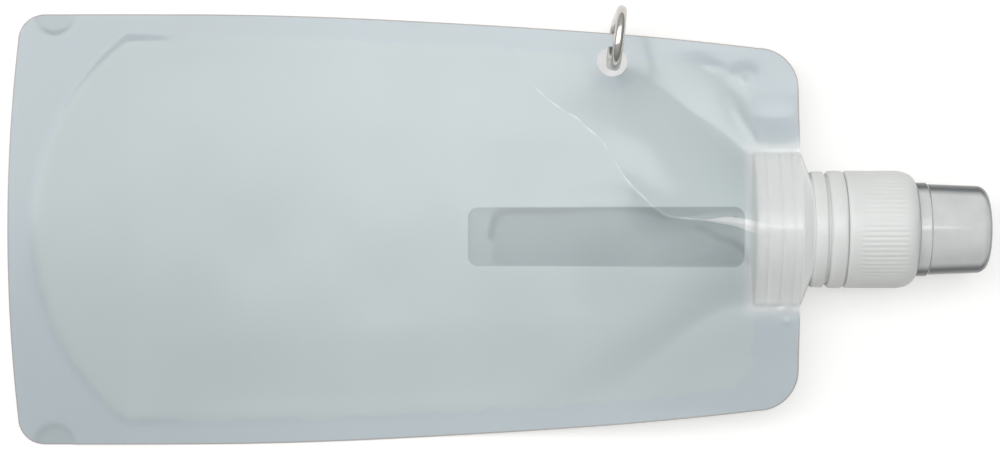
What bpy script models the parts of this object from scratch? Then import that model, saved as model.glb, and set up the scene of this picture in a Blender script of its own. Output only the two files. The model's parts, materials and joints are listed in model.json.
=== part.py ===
"""Collapsible water bottle: a flat film pouch with a welded spout, a push-pull screw cap and a clip.

The bottle lies flat on a table, empty. X runs along it with the spout at +X, Y runs across it and
Z is up. The origin is on the table at the middle of the bottle. Lengths are metres.
"""
import math

import bmesh
import bpy
from mathutils import Matrix, Vector
from mathutils.geometry import delaunay_2d_cdt

# Pouch outline
POUCH_LENGTH = 0.2191        # base edge to top edge
BASE_HALF_WIDTH = 0.0600
TOP_HALF_WIDTH = 0.0498
STRAIGHT_LENGTH = 0.0500     # from the base to where the sides begin to draw in
TAPER_POWER = 1.85
BASE_BOW = 0.0030            # how far the base edge bulges between its corners
BASE_CORNER = 0.0075
SHOULDER_CORNER = 0.0110

# Films and seals
FILM = 0.00022
FILM_GAP = 0.0003            # between films that touch
SIDE_SEAL = 0.0066
TOP_SEAL = 0.0125
AIR_GAP = 0.0012             # what the empty pouch still holds between its films
AIR_EDGE = 0.0250            # width over which that gap opens
GUSSET_DEPTH = 0.0330        # base edge to the gusset's fold
GUSSET_BEND = 0.0007
GUSSET_RUN = 0.0120          # length over which the front film comes down off the gusset
NOTCH_RADIUS = 0.0059
NOTCH_FROM_BASE = 0.0132

# Lie of the pouch: flat at the base, lifted at the top by the spout
RISE_LENGTH = 0.0950
TENT_LENGTH = 0.0640         # the spout holds the films apart this far into the pouch
TENT_SPREAD = 0.9
TENT_EDGE = 0.0050
WING_DROOP = 0.0040
CREASE_HEIGHT = 0.0022
CREASE_REACH = 0.0100

# Hole for the clip
HOLE_RADIUS = 0.00415
HOLE_FROM_TOP = 0.0507
HOLE_FROM_EDGE = 0.0077

# Spout fitment
BOAT_LENGTH = 0.0126
BOAT_HALF_WIDTH = 0.0211
BOAT_HALF_THICKNESS = 0.0100
BOAT_TIP = 0.0012
BOAT_RIBS = 5
BOAT_RIB_DEPTH = 0.0005
BOAT_CLEARANCE = 0.00035
BOAT_BORE_RADIUS = 0.0080
COLLAR_LENGTH = 0.0023       # past the film's top edge
COLLAR_RADIUS = 0.0148
FLANGE_LENGTH = 0.0038
FLANGE_RADIUS = 0.0158
FLANGE_ROUND = 0.0012
GROOVE_LENGTH = 0.0016
GROOVE_RADIUS = 0.0148
NECK_RADIUS = 0.0124
NECK_BORE_RADIUS = 0.0106
NECK_BEAD_RADIUS = 0.0137
NECK_BEAD_LENGTH = 0.0013

# Screw cap, tamper band and liner
CAP_RADIUS = 0.0160
CAP_WALL = 0.0017
CAP_LENGTH = 0.0187
CAP_SHOULDER_HEIGHT = 0.0053
CAP_TOP_RADIUS = 0.01265
CAP_DECK = 0.0016
CAP_RIBS = 72
CAP_RIB_DEPTH = 0.00035
CAP_RIB_START = 0.0022
CAP_RIB_LENGTH = 0.0136
BAND_LENGTH = 0.0043
BAND_WALL = 0.0027
LINER_THICKNESS = 0.0010
LINER_WIDTH = 0.0028
SEAT_GAP = 0.0003            # between pieces that seat on each other
DECK_DROP = 0.0004           # the deck round the tower, below the cap's top edge

# Push-pull nozzle and its tower
SNAP_RADIUS = 0.0112
SNAP_HEIGHT = 0.0027
SNAP_WALL = 0.0012
TOWER_RADIUS = 0.0056
TOWER_BORE_RADIUS = 0.0045
TOWER_HEIGHT = 0.0126
POST_RADIUS = 0.0024
POST_STEM_RADIUS = 0.0017
POST_HEAD = 0.0020
POST_SPOKE = 0.0012
POST_SPOKE_HEIGHT = 0.0037
NOZZLE_LENGTH = 0.0142
NOZZLE_FLANGE_RADIUS = 0.0088
NOZZLE_RADIUS = 0.0081
NOZZLE_TIP_RADIUS = 0.0062
NOZZLE_FLANGE = 0.0018
NOZZLE_TRAVEL = 0.0045       # from shut to the stop bead on the tower
NOZZLE_LIP = 0.0012          # the lip inside the nozzle that meets the bead
STOP_BEAD = 0.0004
STOP_BEAD_LENGTH = 0.0010

# Dust cover
COVER_LENGTH = 0.0196
COVER_WALL = 0.0009
COVER_BEAD_LENGTH = 0.0034
COVER_BEAD = 0.0004
COVER_TAPER = 0.0006
COVER_ROUND = 0.0030

# Clip: a small carabiner on edge in the hole, its narrow end under the film
CLIP_ROD = 0.0028            # diameter
CLIP_LENGTH = 0.0400
CLIP_WIDE_WIDTH = 0.0184
CLIP_NARROW_WIDTH = 0.0140
CLIP_YAW = math.radians(7)
CLIP_LEAN = math.radians(2.6)    # its upper end away from the film
CLIP_SPINE_GAP = 0.0016      # from the film's edge to the spine
CLIP_UNDER = 0.0043          # from the film down to the centre of the rod below it
NARROW_CORNER = 0.0052
WIDE_CORNER = 0.0062
GATE_LENGTH = 0.0176
GATE_FROM_FILM = 0.0072      # from the film up to the hinge
GATE_REACH = 0.0013          # the fork's ears past the hinge pin
TONGUE = 0.0010
PIN_RADIUS = 0.00045
PIN_CLEARANCE = 0.00008
PIN_OFFSET = 0.0003
HINGE_GAP = 0.0007
GATE_BORE_RADIUS = 0.00075
GATE_BORE_LENGTH = 0.0085
PLUNGER_RADIUS = 0.0006
PLUNGER_LENGTH = 0.0030
SPRING_WIRE = 0.00022
SPRING_TURNS = 7

# Facets
ROUND_STEPS = 36
SMALL_STEPS = 12
BOAT_STEPS = 28
FILM_CELL = 0.0095
TENT_CELL = 0.0046

# Places that follow from the sizes
TOTAL_LENGTH = (POUCH_LENGTH + COLLAR_LENGTH + FLANGE_LENGTH + GROOVE_LENGTH + BAND_LENGTH
                + SEAT_GAP + CAP_LENGTH + SEAT_GAP + COVER_LENGTH)
BASE_X = -TOTAL_LENGTH / 2
TOP_X = BASE_X + POUCH_LENGTH
FLANGE_X = TOP_X + COLLAR_LENGTH
BOAT_X = TOP_X - BOAT_LENGTH
AXIS_Z = CAP_RADIUS
FOLD_X = BASE_X + GUSSET_DEPTH
GUSSET_STACK = 2 * FILM + 2 * FILM_GAP
BAND_Z = FLANGE_LENGTH + GROOVE_LENGTH
CAP_Z = BAND_Z + BAND_LENGTH + SEAT_GAP
SHOULDER_Z = CAP_LENGTH - CAP_SHOULDER_HEIGHT
CAP_BORE_RADIUS = CAP_RADIUS - CAP_WALL
RIM_Z = CAP_Z + SHOULDER_Z - SEAT_GAP - LINER_THICKNESS - SEAT_GAP
DECK_Z = CAP_LENGTH - DECK_DROP
POST_TOP = DECK_Z + NOZZLE_LENGTH
STOP_Z = DECK_Z + SEAT_GAP + NOZZLE_LIP + NOZZLE_TRAVEL + SEAT_GAP
COVER_Z = CAP_LENGTH + SEAT_GAP
COVER_BASE_RADIUS = SNAP_RADIUS + SEAT_GAP + COVER_WALL


def clamp(value):
    """Limit a value to 0 to 1."""
    return min(max(value, 0.0), 1.0)


def smooth(value):
    """Ease from 0 to 1."""
    t = clamp(value)
    return t * t * (3 - 2 * t)


def spaced(start, end, step):
    """Values from start to end, evenly spaced about a step apart, both ends included."""
    count = max(1, round(abs(end - start) / step))
    return [start + (end - start) * i / count for i in range(count + 1)]


def material(name, colour, roughness, metallic=0.0, alpha=1.0):
    """A Principled material in a piece's own colour."""
    made = bpy.data.materials.get(name) or bpy.data.materials.new(name)
    made.use_nodes = True
    shader = made.node_tree.nodes["Principled BSDF"]
    shader.inputs["Base Color"].default_value = (*colour, 1.0)
    shader.inputs["Roughness"].default_value = roughness
    shader.inputs["Metallic"].default_value = metallic
    shader.inputs["Alpha"].default_value = alpha
    return made


def film_material():
    return material("milky_film", (0.56, 0.60, 0.62), 0.35, alpha=0.8)


def white_plastic():
    return material("white_polypropylene", (0.72, 0.73, 0.72), 0.35)


def clear_plastic():
    return material("natural_polypropylene", (0.66, 0.70, 0.70), 0.25, alpha=0.6)


def liner_foam():
    return material("liner_foam", (0.80, 0.80, 0.78), 0.8)


def bright_metal():
    return material("nickel_plated_steel", (0.62, 0.62, 0.60), 0.2, metallic=1.0)


def add_object(name, bm, finish, parent=None, sharp=30.0):
    """Turn a bmesh into a named object, with its faces pointing out."""
    bmesh.ops.remove_doubles(bm, verts=bm.verts[:], dist=1e-7)
    bmesh.ops.recalc_face_normals(bm, faces=bm.faces[:])
    mesh = bpy.data.meshes.new(name)
    bm.to_mesh(mesh)
    bm.free()
    mesh.shade_smooth()
    mesh.set_sharp_from_angle(angle=math.radians(sharp))
    mesh.materials.append(finish)
    made = bpy.data.objects.new(name, mesh)
    bpy.context.scene.collection.objects.link(made)
    made.parent = parent
    return made


def add_empty(name, matrix, parent=None):
    """A frame to place pieces in."""
    made = bpy.data.objects.new(name, None)
    bpy.context.scene.collection.objects.link(made)
    made.parent = parent
    made.matrix_local = matrix
    return made


def shape(target, tool, operation):
    """Cut or join with a hidden tool object."""
    tool.hide_render = True
    tool.display_type = "WIRE"
    step = target.modifiers.new(tool.name, "BOOLEAN")
    step.operation = operation
    step.object = tool
    step.solver = "EXACT"
    return step


# Pouch outline in plan

def half_width(x):
    """Distance from the centre line to the side edge, before the corners are rounded."""
    taper_x = BASE_X + STRAIGHT_LENGTH
    t = clamp((x - taper_x) / (TOP_X - SHOULDER_CORNER - taper_x))
    return BASE_HALF_WIDTH - (BASE_HALF_WIDTH - TOP_HALF_WIDTH) * t ** TAPER_POWER


def half_outline(step):
    """Edge points from the middle of the base to the middle of the top, on the +Y side."""
    flat = BASE_HALF_WIDTH - BASE_CORNER
    points = [(BASE_X + BASE_BOW * (y / flat) ** 2, y) for y in spaced(0.0, flat, step)][:-1]
    centre = BASE_X + BASE_BOW + BASE_CORNER
    for angle in spaced(math.pi / 2, 0.0, math.pi / 12):
        x = centre - BASE_CORNER * math.sin(angle)
        points.append((x, half_width(x) - BASE_CORNER * (1 - math.cos(angle))))
    last = TOP_X - SHOULDER_CORNER
    points += [(x, half_width(x)) for x in spaced(centre, last, step)[1:-1]]
    for angle in spaced(0.0, math.pi / 2, math.pi / 12):
        x = last + SHOULDER_CORNER * math.sin(angle)
        points.append((x, half_width(x) - SHOULDER_CORNER * (1 - math.cos(angle))))
    inner = half_width(TOP_X) - SHOULDER_CORNER
    points += [(TOP_X, y) for y in spaced(inner, 0.0, TENT_CELL)[1:]]
    return points


def pouch_outline(step=FILM_CELL):
    """The whole edge, anticlockwise from the middle of the base."""
    upper = half_outline(step)
    lower = [(x, -y) for x, y in upper]
    return lower + upper[-2:0:-1]


def hole_centre():
    x = TOP_X - HOLE_FROM_TOP
    return Vector((x, half_width(x) - HOLE_FROM_EDGE))


def hole_outline():
    centre = hole_centre()
    turns = [2 * math.pi * i / 20 for i in range(20)]
    return [(centre.x + HOLE_RADIUS * math.cos(a), centre.y + HOLE_RADIUS * math.sin(a)) for a in turns]


def inside(point, polygon):
    """Whether a point in plan lies inside a closed outline."""
    x, y = point
    odd = False
    for (x1, y1), (x2, y2) in zip(polygon, polygon[1:] + polygon[:1]):
        if (y1 > y) != (y2 > y) and x < x1 + (y - y1) * (x2 - x1) / (y2 - y1):
            odd = not odd
    return odd


# Height of the films above the table

def boat_half(y):
    """Half thickness of the spout's boat at a distance across it."""
    t = max(1 - (y / BOAT_HALF_WIDTH) ** 2, 0.0)
    return BOAT_TIP + (BOAT_HALF_THICKNESS - BOAT_TIP) * t ** 1.5


def tent(x, y):
    """How far the boat holds the films apart, over it and behind it."""
    full = BOAT_X - TENT_CELL / 3
    opened = smooth((x - full + TENT_LENGTH) / TENT_LENGTH)
    across = abs(y) / (1 + TENT_SPREAD * (1 - opened))
    held = 2 * (boat_half(across) + BOAT_CLEARANCE)
    closing = 1 - smooth((across - BOAT_HALF_WIDTH - BOAT_CLEARANCE) / TENT_EDGE)
    return held * closing * opened


def film_gap(x, y):
    """Distance between the inner faces of the two panels."""
    past_fold = x - FOLD_X - FILM_GAP
    gusset = GUSSET_STACK * (1 - smooth(past_fold / GUSSET_RUN))
    from_side = (half_width(x) - SIDE_SEAL - abs(y)) / AIR_EDGE
    from_top = (TOP_X - TOP_SEAL - x) / AIR_EDGE
    air = AIR_GAP * smooth(past_fold / AIR_EDGE) * smooth(from_side) * smooth(from_top)
    return FILM_GAP + gusset + max(air, tent(x, y) - FILM_GAP, 0.0)


def back_height(x, y):
    """Underside of the back panel."""
    lifted = smooth((x - BOAT_X + RISE_LENGTH) / (RISE_LENGTH - TENT_CELL / 3))
    droop = WING_DROOP * smooth((abs(y) - BOAT_HALF_WIDTH) / (TOP_HALF_WIDTH - BOAT_HALF_WIDTH))
    return lifted * (AXIS_Z - FILM - droop - film_gap(x, y) / 2)


def crease_line():
    """The fold that runs over the front panel, from the boat out towards the side, in plan."""
    start = Vector((BOAT_X - TENT_CELL, 0.0))
    bend = Vector((BOAT_X - 1.6 * BOAT_LENGTH, 0.15 * BOAT_HALF_WIDTH))
    end = Vector((BOAT_X - 4.8 * BOAT_LENGTH, 0.82 * TOP_HALF_WIDTH))
    first = [start.lerp(bend, i / 4) for i in range(5)]
    return first + [bend.lerp(end, i / 8) for i in range(1, 9)]


def crease(x, y, line):
    """A sharp low ridge along the fold, dying out at both ends."""
    here = Vector((x, y))
    best, along = CREASE_REACH, 0.0
    for i, (a, b) in enumerate(zip(line, line[1:])):
        t = clamp((here - a).dot(b - a) / (b - a).length_squared)
        distance = (here - a.lerp(b, t)).length
        if distance < best:
            best, along = distance, (i + t) / (len(line) - 1)
    fade = smooth(4 * along) * smooth(3 * (1 - along))
    return CREASE_HEIGHT * fade * (1 - best / CREASE_REACH) ** 2


def film_plan():
    """Points and triangles that both panels share, in plan."""
    outline = pouch_outline()
    hole = hole_outline()
    fold_x = FOLD_X + FILM_GAP
    fold = [Vector((fold_x, y)) for y in spaced(-half_width(fold_x), half_width(fold_x), FILM_CELL)]
    line = crease_line()
    points = []
    edges = []
    for chain, closed in ((outline, True), (hole, True), (fold[1:-1], False), (line, False)):
        first = len(points)
        points += [Vector(p) for p in chain]
        edges += [(first + i, first + i + 1) for i in range(len(chain) - 1)]
        if closed:
            edges.append((len(points) - 1, first))
    fixed = points[:]
    tent_x = BOAT_X - TENT_LENGTH
    columns = [(x, FILM_CELL) for x in spaced(BASE_X + FILM_CELL / 2, tent_x, FILM_CELL)]
    full = BOAT_X - TENT_CELL / 3
    columns += [(x, TENT_CELL) for x in spaced(tent_x, full, TENT_CELL)[1:]]
    columns += [(x, TENT_CELL) for x in spaced(full, TOP_X, TENT_CELL)[1:-1]]
    for number, (x, step) in enumerate(columns):
        shift = step / 2 if number % 2 else 0.0
        for y in spaced(-BASE_HALF_WIDTH + shift, BASE_HALF_WIDTH + shift, step):
            far = step == FILM_CELL or abs(y) < 1.5 * BOAT_HALF_WIDTH or number % 2
            if far and min((p - Vector((x, y))).length for p in fixed) > 0.45 * step:
                points.append(Vector((x, y)))
    kept, _, faces, _, _, _ = delaunay_2d_cdt(points, edges, [], 0, 1e-7)
    triangles = []
    for face in faces:
        middle = sum((kept[i] for i in face), Vector((0.0, 0.0))) / len(face)
        if inside(middle, outline) and not inside(middle, hole):
            triangles.append(tuple(face))
    used = sorted({i for face in triangles for i in face})
    number_of = {old: new for new, old in enumerate(used)}
    return [kept[i] for i in used], [tuple(number_of[i] for i in f) for f in triangles]


def film_sheet(name, plan, low, parent):
    """A film of even thickness whose underside is low(x, y), over a plan of triangles."""
    points, triangles = plan
    bm = bmesh.new()
    under = [bm.verts.new((p.x, p.y, low(p.x, p.y))) for p in points]
    over = [bm.verts.new((p.x, p.y, low(p.x, p.y) + FILM)) for p in points]
    count = {}
    for a, b, c in triangles:
        bm.faces.new((over[a], over[b], over[c]))
        bm.faces.new((under[c], under[b], under[a]))
        for edge in ((a, b), (b, c), (c, a)):
            count[frozenset(edge)] = count.get(frozenset(edge), 0) + 1
    for a, b, c in triangles:
        for start, end in ((a, b), (b, c), (c, a)):
            if count[frozenset((start, end))] == 1:
                bm.faces.new((over[end], over[start], under[start], under[end]))
    return add_object(name, bm, film_material(), parent)


def make_panels(parent):
    """Front and back panels, meeting at their seals."""
    plan = film_plan()
    line = crease_line()
    film_sheet("back_panel", plan, back_height, parent)

    def front_height(x, y):
        return back_height(x, y) + FILM + film_gap(x, y) + crease(x, y, line)

    film_sheet("front_panel", plan, front_height, parent)


def prism(name, outline, low, high, finish, parent=None):
    """A flat outline in local XY made solid between two heights."""
    bm = bmesh.new()
    face = bm.faces.new([bm.verts.new((x, y, low)) for x, y in outline])
    grown = bmesh.ops.extrude_face_region(bm, geom=[face])
    moved = [v for v in grown["geom"] if isinstance(v, bmesh.types.BMVert)]
    bmesh.ops.translate(bm, verts=moved, vec=(0.0, 0.0, high - low))
    return add_object(name, bm, finish, parent)


def make_gusset(parent):
    """The bottom gusset: one film folded into two leaves between the panels."""
    low = FILM + FILM_GAP
    high = low + 2 * FILM + FILM_GAP
    edge = [p for p in pouch_outline() if p[0] < FOLD_X - FILM_CELL / 4]
    side = half_width(FOLD_X)
    outline = sorted_outline(edge + [(FOLD_X, side), (FOLD_X, -side)])
    gusset = prism("bottom_gusset", outline, low, high, film_material(), parent)
    slot = [(BASE_X - FILM_CELL, -2 * side), (FOLD_X - GUSSET_BEND, -2 * side),
            (FOLD_X - GUSSET_BEND, 2 * side), (BASE_X - FILM_CELL, 2 * side)]
    shape(gusset, prism("gusset_slot", slot, low + FILM, high - FILM, film_material(), parent),
          "DIFFERENCE")
    for sign in (1, -1):
        centre_x = BASE_X + NOTCH_FROM_BASE
        centre_y = sign * (BASE_HALF_WIDTH + FILM)
        turns = [2 * math.pi * i / 32 for i in range(32)]
        ring = [(centre_x + NOTCH_RADIUS * math.cos(a), centre_y + NOTCH_RADIUS * math.sin(a))
                for a in turns]
        notch = prism(f"gusset_notch_{sign}", ring, low - FILM, high + FILM, film_material(), parent)
        shape(gusset, notch, "DIFFERENCE")


def sorted_outline(points):
    """Points of an outline that is star-shaped about its middle, in order round it."""
    middle = sum((Vector(p) for p in points), Vector((0.0, 0.0))) / len(points)
    return sorted(points, key=lambda p: math.atan2(p[1] - middle.y, p[0] - middle.x))


# Turned pieces, about local Z

def add_ring(bm, radius, height, count, wave=None):
    """One ring of vertices, or the single vertex on the axis where the radius is 0."""
    if radius == 0.0:
        return [bm.verts.new((0.0, 0.0, height))]
    ring = []
    for i in range(count):
        angle = 2 * math.pi * i / count
        r = radius - (wave(i) if wave else 0.0)
        ring.append(bm.verts.new((r * math.cos(angle), r * math.sin(angle), height)))
    return ring


def bridge(bm, first, second):
    """Join two rings. One may have a whole number of times as many vertices as the other."""
    if len(first) < len(second):
        first, second = second, first
    ratio = len(first) // len(second)
    half = (ratio + 1) // 2
    for i in range(len(second)):
        here, following = second[i], second[(i + 1) % len(second)]
        fine = [first[(ratio * i + j) % len(first)] for j in range(ratio + 1)]
        for j in range(ratio):
            near = here if j < half else following
            bm.faces.new((fine[j], fine[j + 1], near))
            if j + 1 == half and len(second) > 1:
                bm.faces.new((fine[half], following, here))


def turned(name, profile, finish, parent, closed=True, count=ROUND_STEPS):
    """A turned piece from (radius, height) points, or (radius, height, count, wave) points."""
    bm = bmesh.new()
    rings = []
    for point in profile:
        radius, height = point[:2]
        number = point[2] if len(point) > 2 else count
        wave = point[3] if len(point) > 3 else None
        rings.append(add_ring(bm, radius, height, number, wave))
    for first, second in zip(rings, rings[1:]):
        bridge(bm, first, second)
    if closed:
        bridge(bm, rings[-1], rings[0])
    return add_object(name, bm, finish, parent)


def arc(centre, radius, start, end, steps):
    """Points on a round corner of a profile, with the angles in degrees."""
    angles = [math.radians(start + (end - start) * i / steps) for i in range(steps + 1)]
    return [(centre[0] + radius * math.cos(a), centre[1] + radius * math.sin(a)) for a in angles]


def make_boat(name, parent, finish):
    """The boat that the films are welded to, ribbed round, narrowing to the collar."""
    pitch = BOAT_LENGTH / BOAT_RIBS
    sections = []
    for i in range(BOAT_RIBS):
        start = -COLLAR_LENGTH - BOAT_LENGTH + i * pitch
        sections += [(start, 0.0), (start + 0.5 * pitch, 0.0),
                     (start + 0.65 * pitch, BOAT_RIB_DEPTH), (start + 0.85 * pitch, BOAT_RIB_DEPTH)]
    sections.append((-COLLAR_LENGTH, 0.0))
    sections.append((-0.4 * COLLAR_LENGTH, 0.6 * (BOAT_HALF_WIDTH - COLLAR_RADIUS)))
    bm = bmesh.new()
    rings = []
    for height, inset in sections:
        width = BOAT_HALF_WIDTH - inset
        thick = min(inset, BOAT_RIB_DEPTH)
        ring = []
        for i in range(BOAT_STEPS):
            angle = 2 * math.pi * (i + 0.5) / BOAT_STEPS
            y = BOAT_HALF_WIDTH * math.cos(angle)
            z = math.copysign(boat_half(y) - thick, math.sin(angle))
            ring.append(bm.verts.new((z, y * width / BOAT_HALF_WIDTH, height)))
        rings.append(ring)
    for first, second in zip(rings, rings[1:]):
        bridge(bm, first, second)
    bm.faces.new(rings[0])
    bm.faces.new(rings[-1])
    return add_object(name, bm, finish, parent)


def make_fitment(spout):
    """Boat, collar, flange and neck, moulded as one, with the way through."""
    finish = white_plastic()
    top = FLANGE_LENGTH - FLANGE_ROUND
    edge = FLANGE_RADIUS - FLANGE_ROUND
    bead_z = CAP_Z + SEAT_GAP
    profile = [(0.0, -0.6 * COLLAR_LENGTH), (COLLAR_RADIUS, -0.6 * COLLAR_LENGTH), (COLLAR_RADIUS, 0.0)]
    profile += arc((edge, FLANGE_ROUND), FLANGE_ROUND, -75, 0, 3)
    profile += arc((edge, top), FLANGE_ROUND, 0, 75, 3)
    profile += [(GROOVE_RADIUS, FLANGE_LENGTH + 0.1 * GROOVE_LENGTH), (GROOVE_RADIUS, BAND_Z - SEAT_GAP),
                (NECK_RADIUS, BAND_Z - SEAT_GAP), (NECK_RADIUS, bead_z),
                (NECK_BEAD_RADIUS, bead_z + 0.5 * NECK_BEAD_LENGTH),
                (NECK_BEAD_RADIUS, bead_z + NECK_BEAD_LENGTH),
                (NECK_RADIUS, bead_z + 1.5 * NECK_BEAD_LENGTH),
                (NECK_RADIUS, RIM_Z - SEAT_GAP), (NECK_RADIUS - SEAT_GAP, RIM_Z), (0.0, RIM_Z)]
    fitment = turned("spout_fitment", profile, finish, spout, closed=False)
    shape(fitment, make_boat("boat", spout, finish), "UNION")
    step_z = -0.3 * COLLAR_LENGTH
    bottom = -COLLAR_LENGTH - 2 * BOAT_LENGTH
    bore = [(0.0, bottom), (BOAT_BORE_RADIUS, bottom), (BOAT_BORE_RADIUS, step_z - CAP_WALL),
            (NECK_BORE_RADIUS, step_z), (NECK_BORE_RADIUS, RIM_Z + CAP_WALL), (0.0, RIM_Z + CAP_WALL)]
    shape(fitment, turned("spout_bore", bore, finish, spout, closed=False), "DIFFERENCE")


def make_band(spout):
    """The tamper band, which stays on the neck when the cap is unscrewed."""
    chamfer = SEAT_GAP
    low, high = BAND_Z, BAND_Z + BAND_LENGTH
    inner = CAP_RADIUS - BAND_WALL
    profile = [(inner, low), (CAP_RADIUS - chamfer, low), (CAP_RADIUS, low + chamfer),
               (CAP_RADIUS, high - chamfer), (CAP_RADIUS - chamfer, high), (inner, high)]
    turned("tamper_band", profile, white_plastic(), spout)


def make_liner(spout):
    """The sealing ring between the neck's rim and the cap."""
    low = RIM_Z + SEAT_GAP
    outer = CAP_BORE_RADIUS - SEAT_GAP
    profile = [(outer - LINER_WIDTH, low), (outer, low), (outer, low + LINER_THICKNESS),
               (outer - LINER_WIDTH, low + LINER_THICKNESS)]
    turned("cap_liner", profile, liner_foam(), spout)


def cap_radius(height):
    """Outside radius of the cap above its rim, before the ribs are cut."""
    t = clamp((height - SHOULDER_Z) / CAP_SHOULDER_HEIGHT)
    return CAP_TOP_RADIUS + (CAP_RADIUS - CAP_TOP_RADIUS) * math.sqrt(1 - t * t)


def make_cap(cap):
    """Screw cap: ribbed skirt, round shoulder, snap ring and the nozzle's tower with its post."""
    finish = white_plastic()
    fine = 2 * CAP_RIBS
    rib_end = CAP_RIB_START + CAP_RIB_LENGTH
    run = 2 * CAP_RIB_DEPTH
    deck_under = DECK_Z - CAP_DECK

    def valley(i):
        return CAP_RIB_DEPTH * (i % 2)

    profile = [(CAP_BORE_RADIUS, 0.0), (CAP_RADIUS - SEAT_GAP, 0.0), (CAP_RADIUS, SEAT_GAP),
               (CAP_RADIUS, CAP_RIB_START, fine), (CAP_RADIUS, CAP_RIB_START + run, fine, valley),
               (CAP_RADIUS, SHOULDER_Z, fine, valley)]
    profile += [(cap_radius(z), z, fine, valley) for z in spaced(SHOULDER_Z, rib_end - run, run)[1::2]]
    profile.append((cap_radius(rib_end), rib_end, fine))
    for angle in (50, 70):
        height = SHOULDER_Z + CAP_SHOULDER_HEIGHT * math.sin(math.radians(angle))
        if height > rib_end:
            profile.append((cap_radius(height), height))
    profile += [(CAP_TOP_RADIUS, CAP_LENGTH), (SNAP_RADIUS, CAP_LENGTH),
                (SNAP_RADIUS, CAP_LENGTH + SNAP_HEIGHT), (SNAP_RADIUS - SNAP_WALL, CAP_LENGTH + SNAP_HEIGHT),
                (SNAP_RADIUS - SNAP_WALL, DECK_Z), (TOWER_RADIUS, DECK_Z), (TOWER_RADIUS, STOP_Z),
                (TOWER_RADIUS + STOP_BEAD, STOP_Z),
                (TOWER_RADIUS + STOP_BEAD, STOP_Z + STOP_BEAD_LENGTH / 2),
                (TOWER_RADIUS, STOP_Z + STOP_BEAD_LENGTH), (TOWER_RADIUS, DECK_Z + TOWER_HEIGHT),
                (TOWER_BORE_RADIUS, DECK_Z + TOWER_HEIGHT), (TOWER_BORE_RADIUS, deck_under),
                (NECK_BORE_RADIUS - CAP_DECK, deck_under),
                (NECK_BORE_RADIUS, SHOULDER_Z), (CAP_BORE_RADIUS, SHOULDER_Z)]
    body = turned("screw_cap", profile, finish, cap)
    stem_top = POST_TOP - POST_HEAD
    post = [(0.0, deck_under), (POST_STEM_RADIUS, deck_under),
            (POST_STEM_RADIUS, stem_top - POST_RADIUS + POST_STEM_RADIUS), (POST_RADIUS, stem_top),
            (POST_RADIUS, POST_TOP - POST_HEAD / 4), (POST_RADIUS - POST_HEAD / 4, POST_TOP), (0.0, POST_TOP)]
    post_body = turned("nozzle_post", post, finish, cap, closed=False, count=24)
    reach = (TOWER_RADIUS + TOWER_BORE_RADIUS) / 2
    for i in range(3):
        half = POST_SPOKE / 2
        spoke = prism(f"post_spoke_{i}", [(0.0, -half), (reach, -half), (reach, half), (0.0, half)],
                      deck_under + FILM_GAP, deck_under + POST_SPOKE_HEIGHT, finish, cap)
        spoke.rotation_euler.z = 2 * math.pi * (i + 0.25) / 3
        shape(post_body, spoke, "UNION")
    shape(body, post_body, "UNION")


def make_nozzle(cap):
    """The push-pull nozzle, pushed down so that the post closes it."""
    low = DECK_Z + SEAT_GAP
    high = low + NOZZLE_LENGTH
    lip = TOWER_RADIUS + SEAT_GAP
    bore = lip + STOP_BEAD
    mouth = POST_RADIUS + SEAT_GAP
    ceiling = DECK_Z + TOWER_HEIGHT + SEAT_GAP
    flange = low + NOZZLE_FLANGE
    round_z = high - (NOZZLE_RADIUS - NOZZLE_TIP_RADIUS)
    profile = [(lip, low), (NOZZLE_FLANGE_RADIUS, low), (NOZZLE_FLANGE_RADIUS, flange),
               (NOZZLE_RADIUS, flange + NOZZLE_FLANGE / 3), (NOZZLE_RADIUS, round_z)]
    profile += arc((NOZZLE_TIP_RADIUS, round_z), NOZZLE_RADIUS - NOZZLE_TIP_RADIUS, 30, 90, 2)
    profile += [(mouth + SEAT_GAP, high), (mouth, high - SEAT_GAP), (mouth, ceiling), (bore, ceiling),
                (bore, low + NOZZLE_LIP), (lip, low + NOZZLE_LIP)]
    turned("pull_nozzle", profile, white_plastic(), cap)


def make_cover(cap):
    """The dust cover, snapped on over the nozzle."""
    bead_top = COVER_Z + COVER_BEAD_LENGTH
    end = COVER_Z + COVER_LENGTH
    outer = COVER_BASE_RADIUS
    tip = outer - COVER_TAPER
    inner_tip = tip - COVER_WALL
    inner_base = outer - COVER_WALL
    inner_round = COVER_ROUND - COVER_WALL
    profile = [(inner_base, COVER_Z), (outer + COVER_BEAD, COVER_Z), (outer + COVER_BEAD, bead_top - COVER_BEAD),
               (outer, bead_top)]
    profile += arc((tip - COVER_ROUND, end - COVER_ROUND), COVER_ROUND, 0, 90, 5)
    profile += [(0.0, end), (0.0, end - COVER_WALL)]
    profile += arc((inner_tip - inner_round, end - COVER_WALL - inner_round), inner_round, 90, 0, 4)
    bm = bmesh.new()
    rings = [add_ring(bm, r, z, ROUND_STEPS) for r, z in profile]
    split = next(i for i, (r, z) in enumerate(profile) if r == 0.0)
    for first, second in zip(rings[:split + 1], rings[1:split + 1]):
        bridge(bm, first, second)
    inner = rings[split + 1:] + [rings[0]]
    for first, second in zip(inner, inner[1:]):
        bridge(bm, first, second)
    add_object("dust_cover", bm, clear_plastic(), cap)


# Clip, in a local frame: X across it towards the spine, Y up, Z along its swing axis

def clip_pivot():
    """The middle of the strip of film between the hole and the edge, level with the films."""
    centre = hole_centre()
    y = centre.y + (HOLE_RADIUS + HOLE_FROM_EDGE) / 2
    z = back_height(centre.x, y) + FILM + film_gap(centre.x, y) / 2
    return Vector((centre.x + HOLE_RADIUS / 8, y, z))


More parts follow.
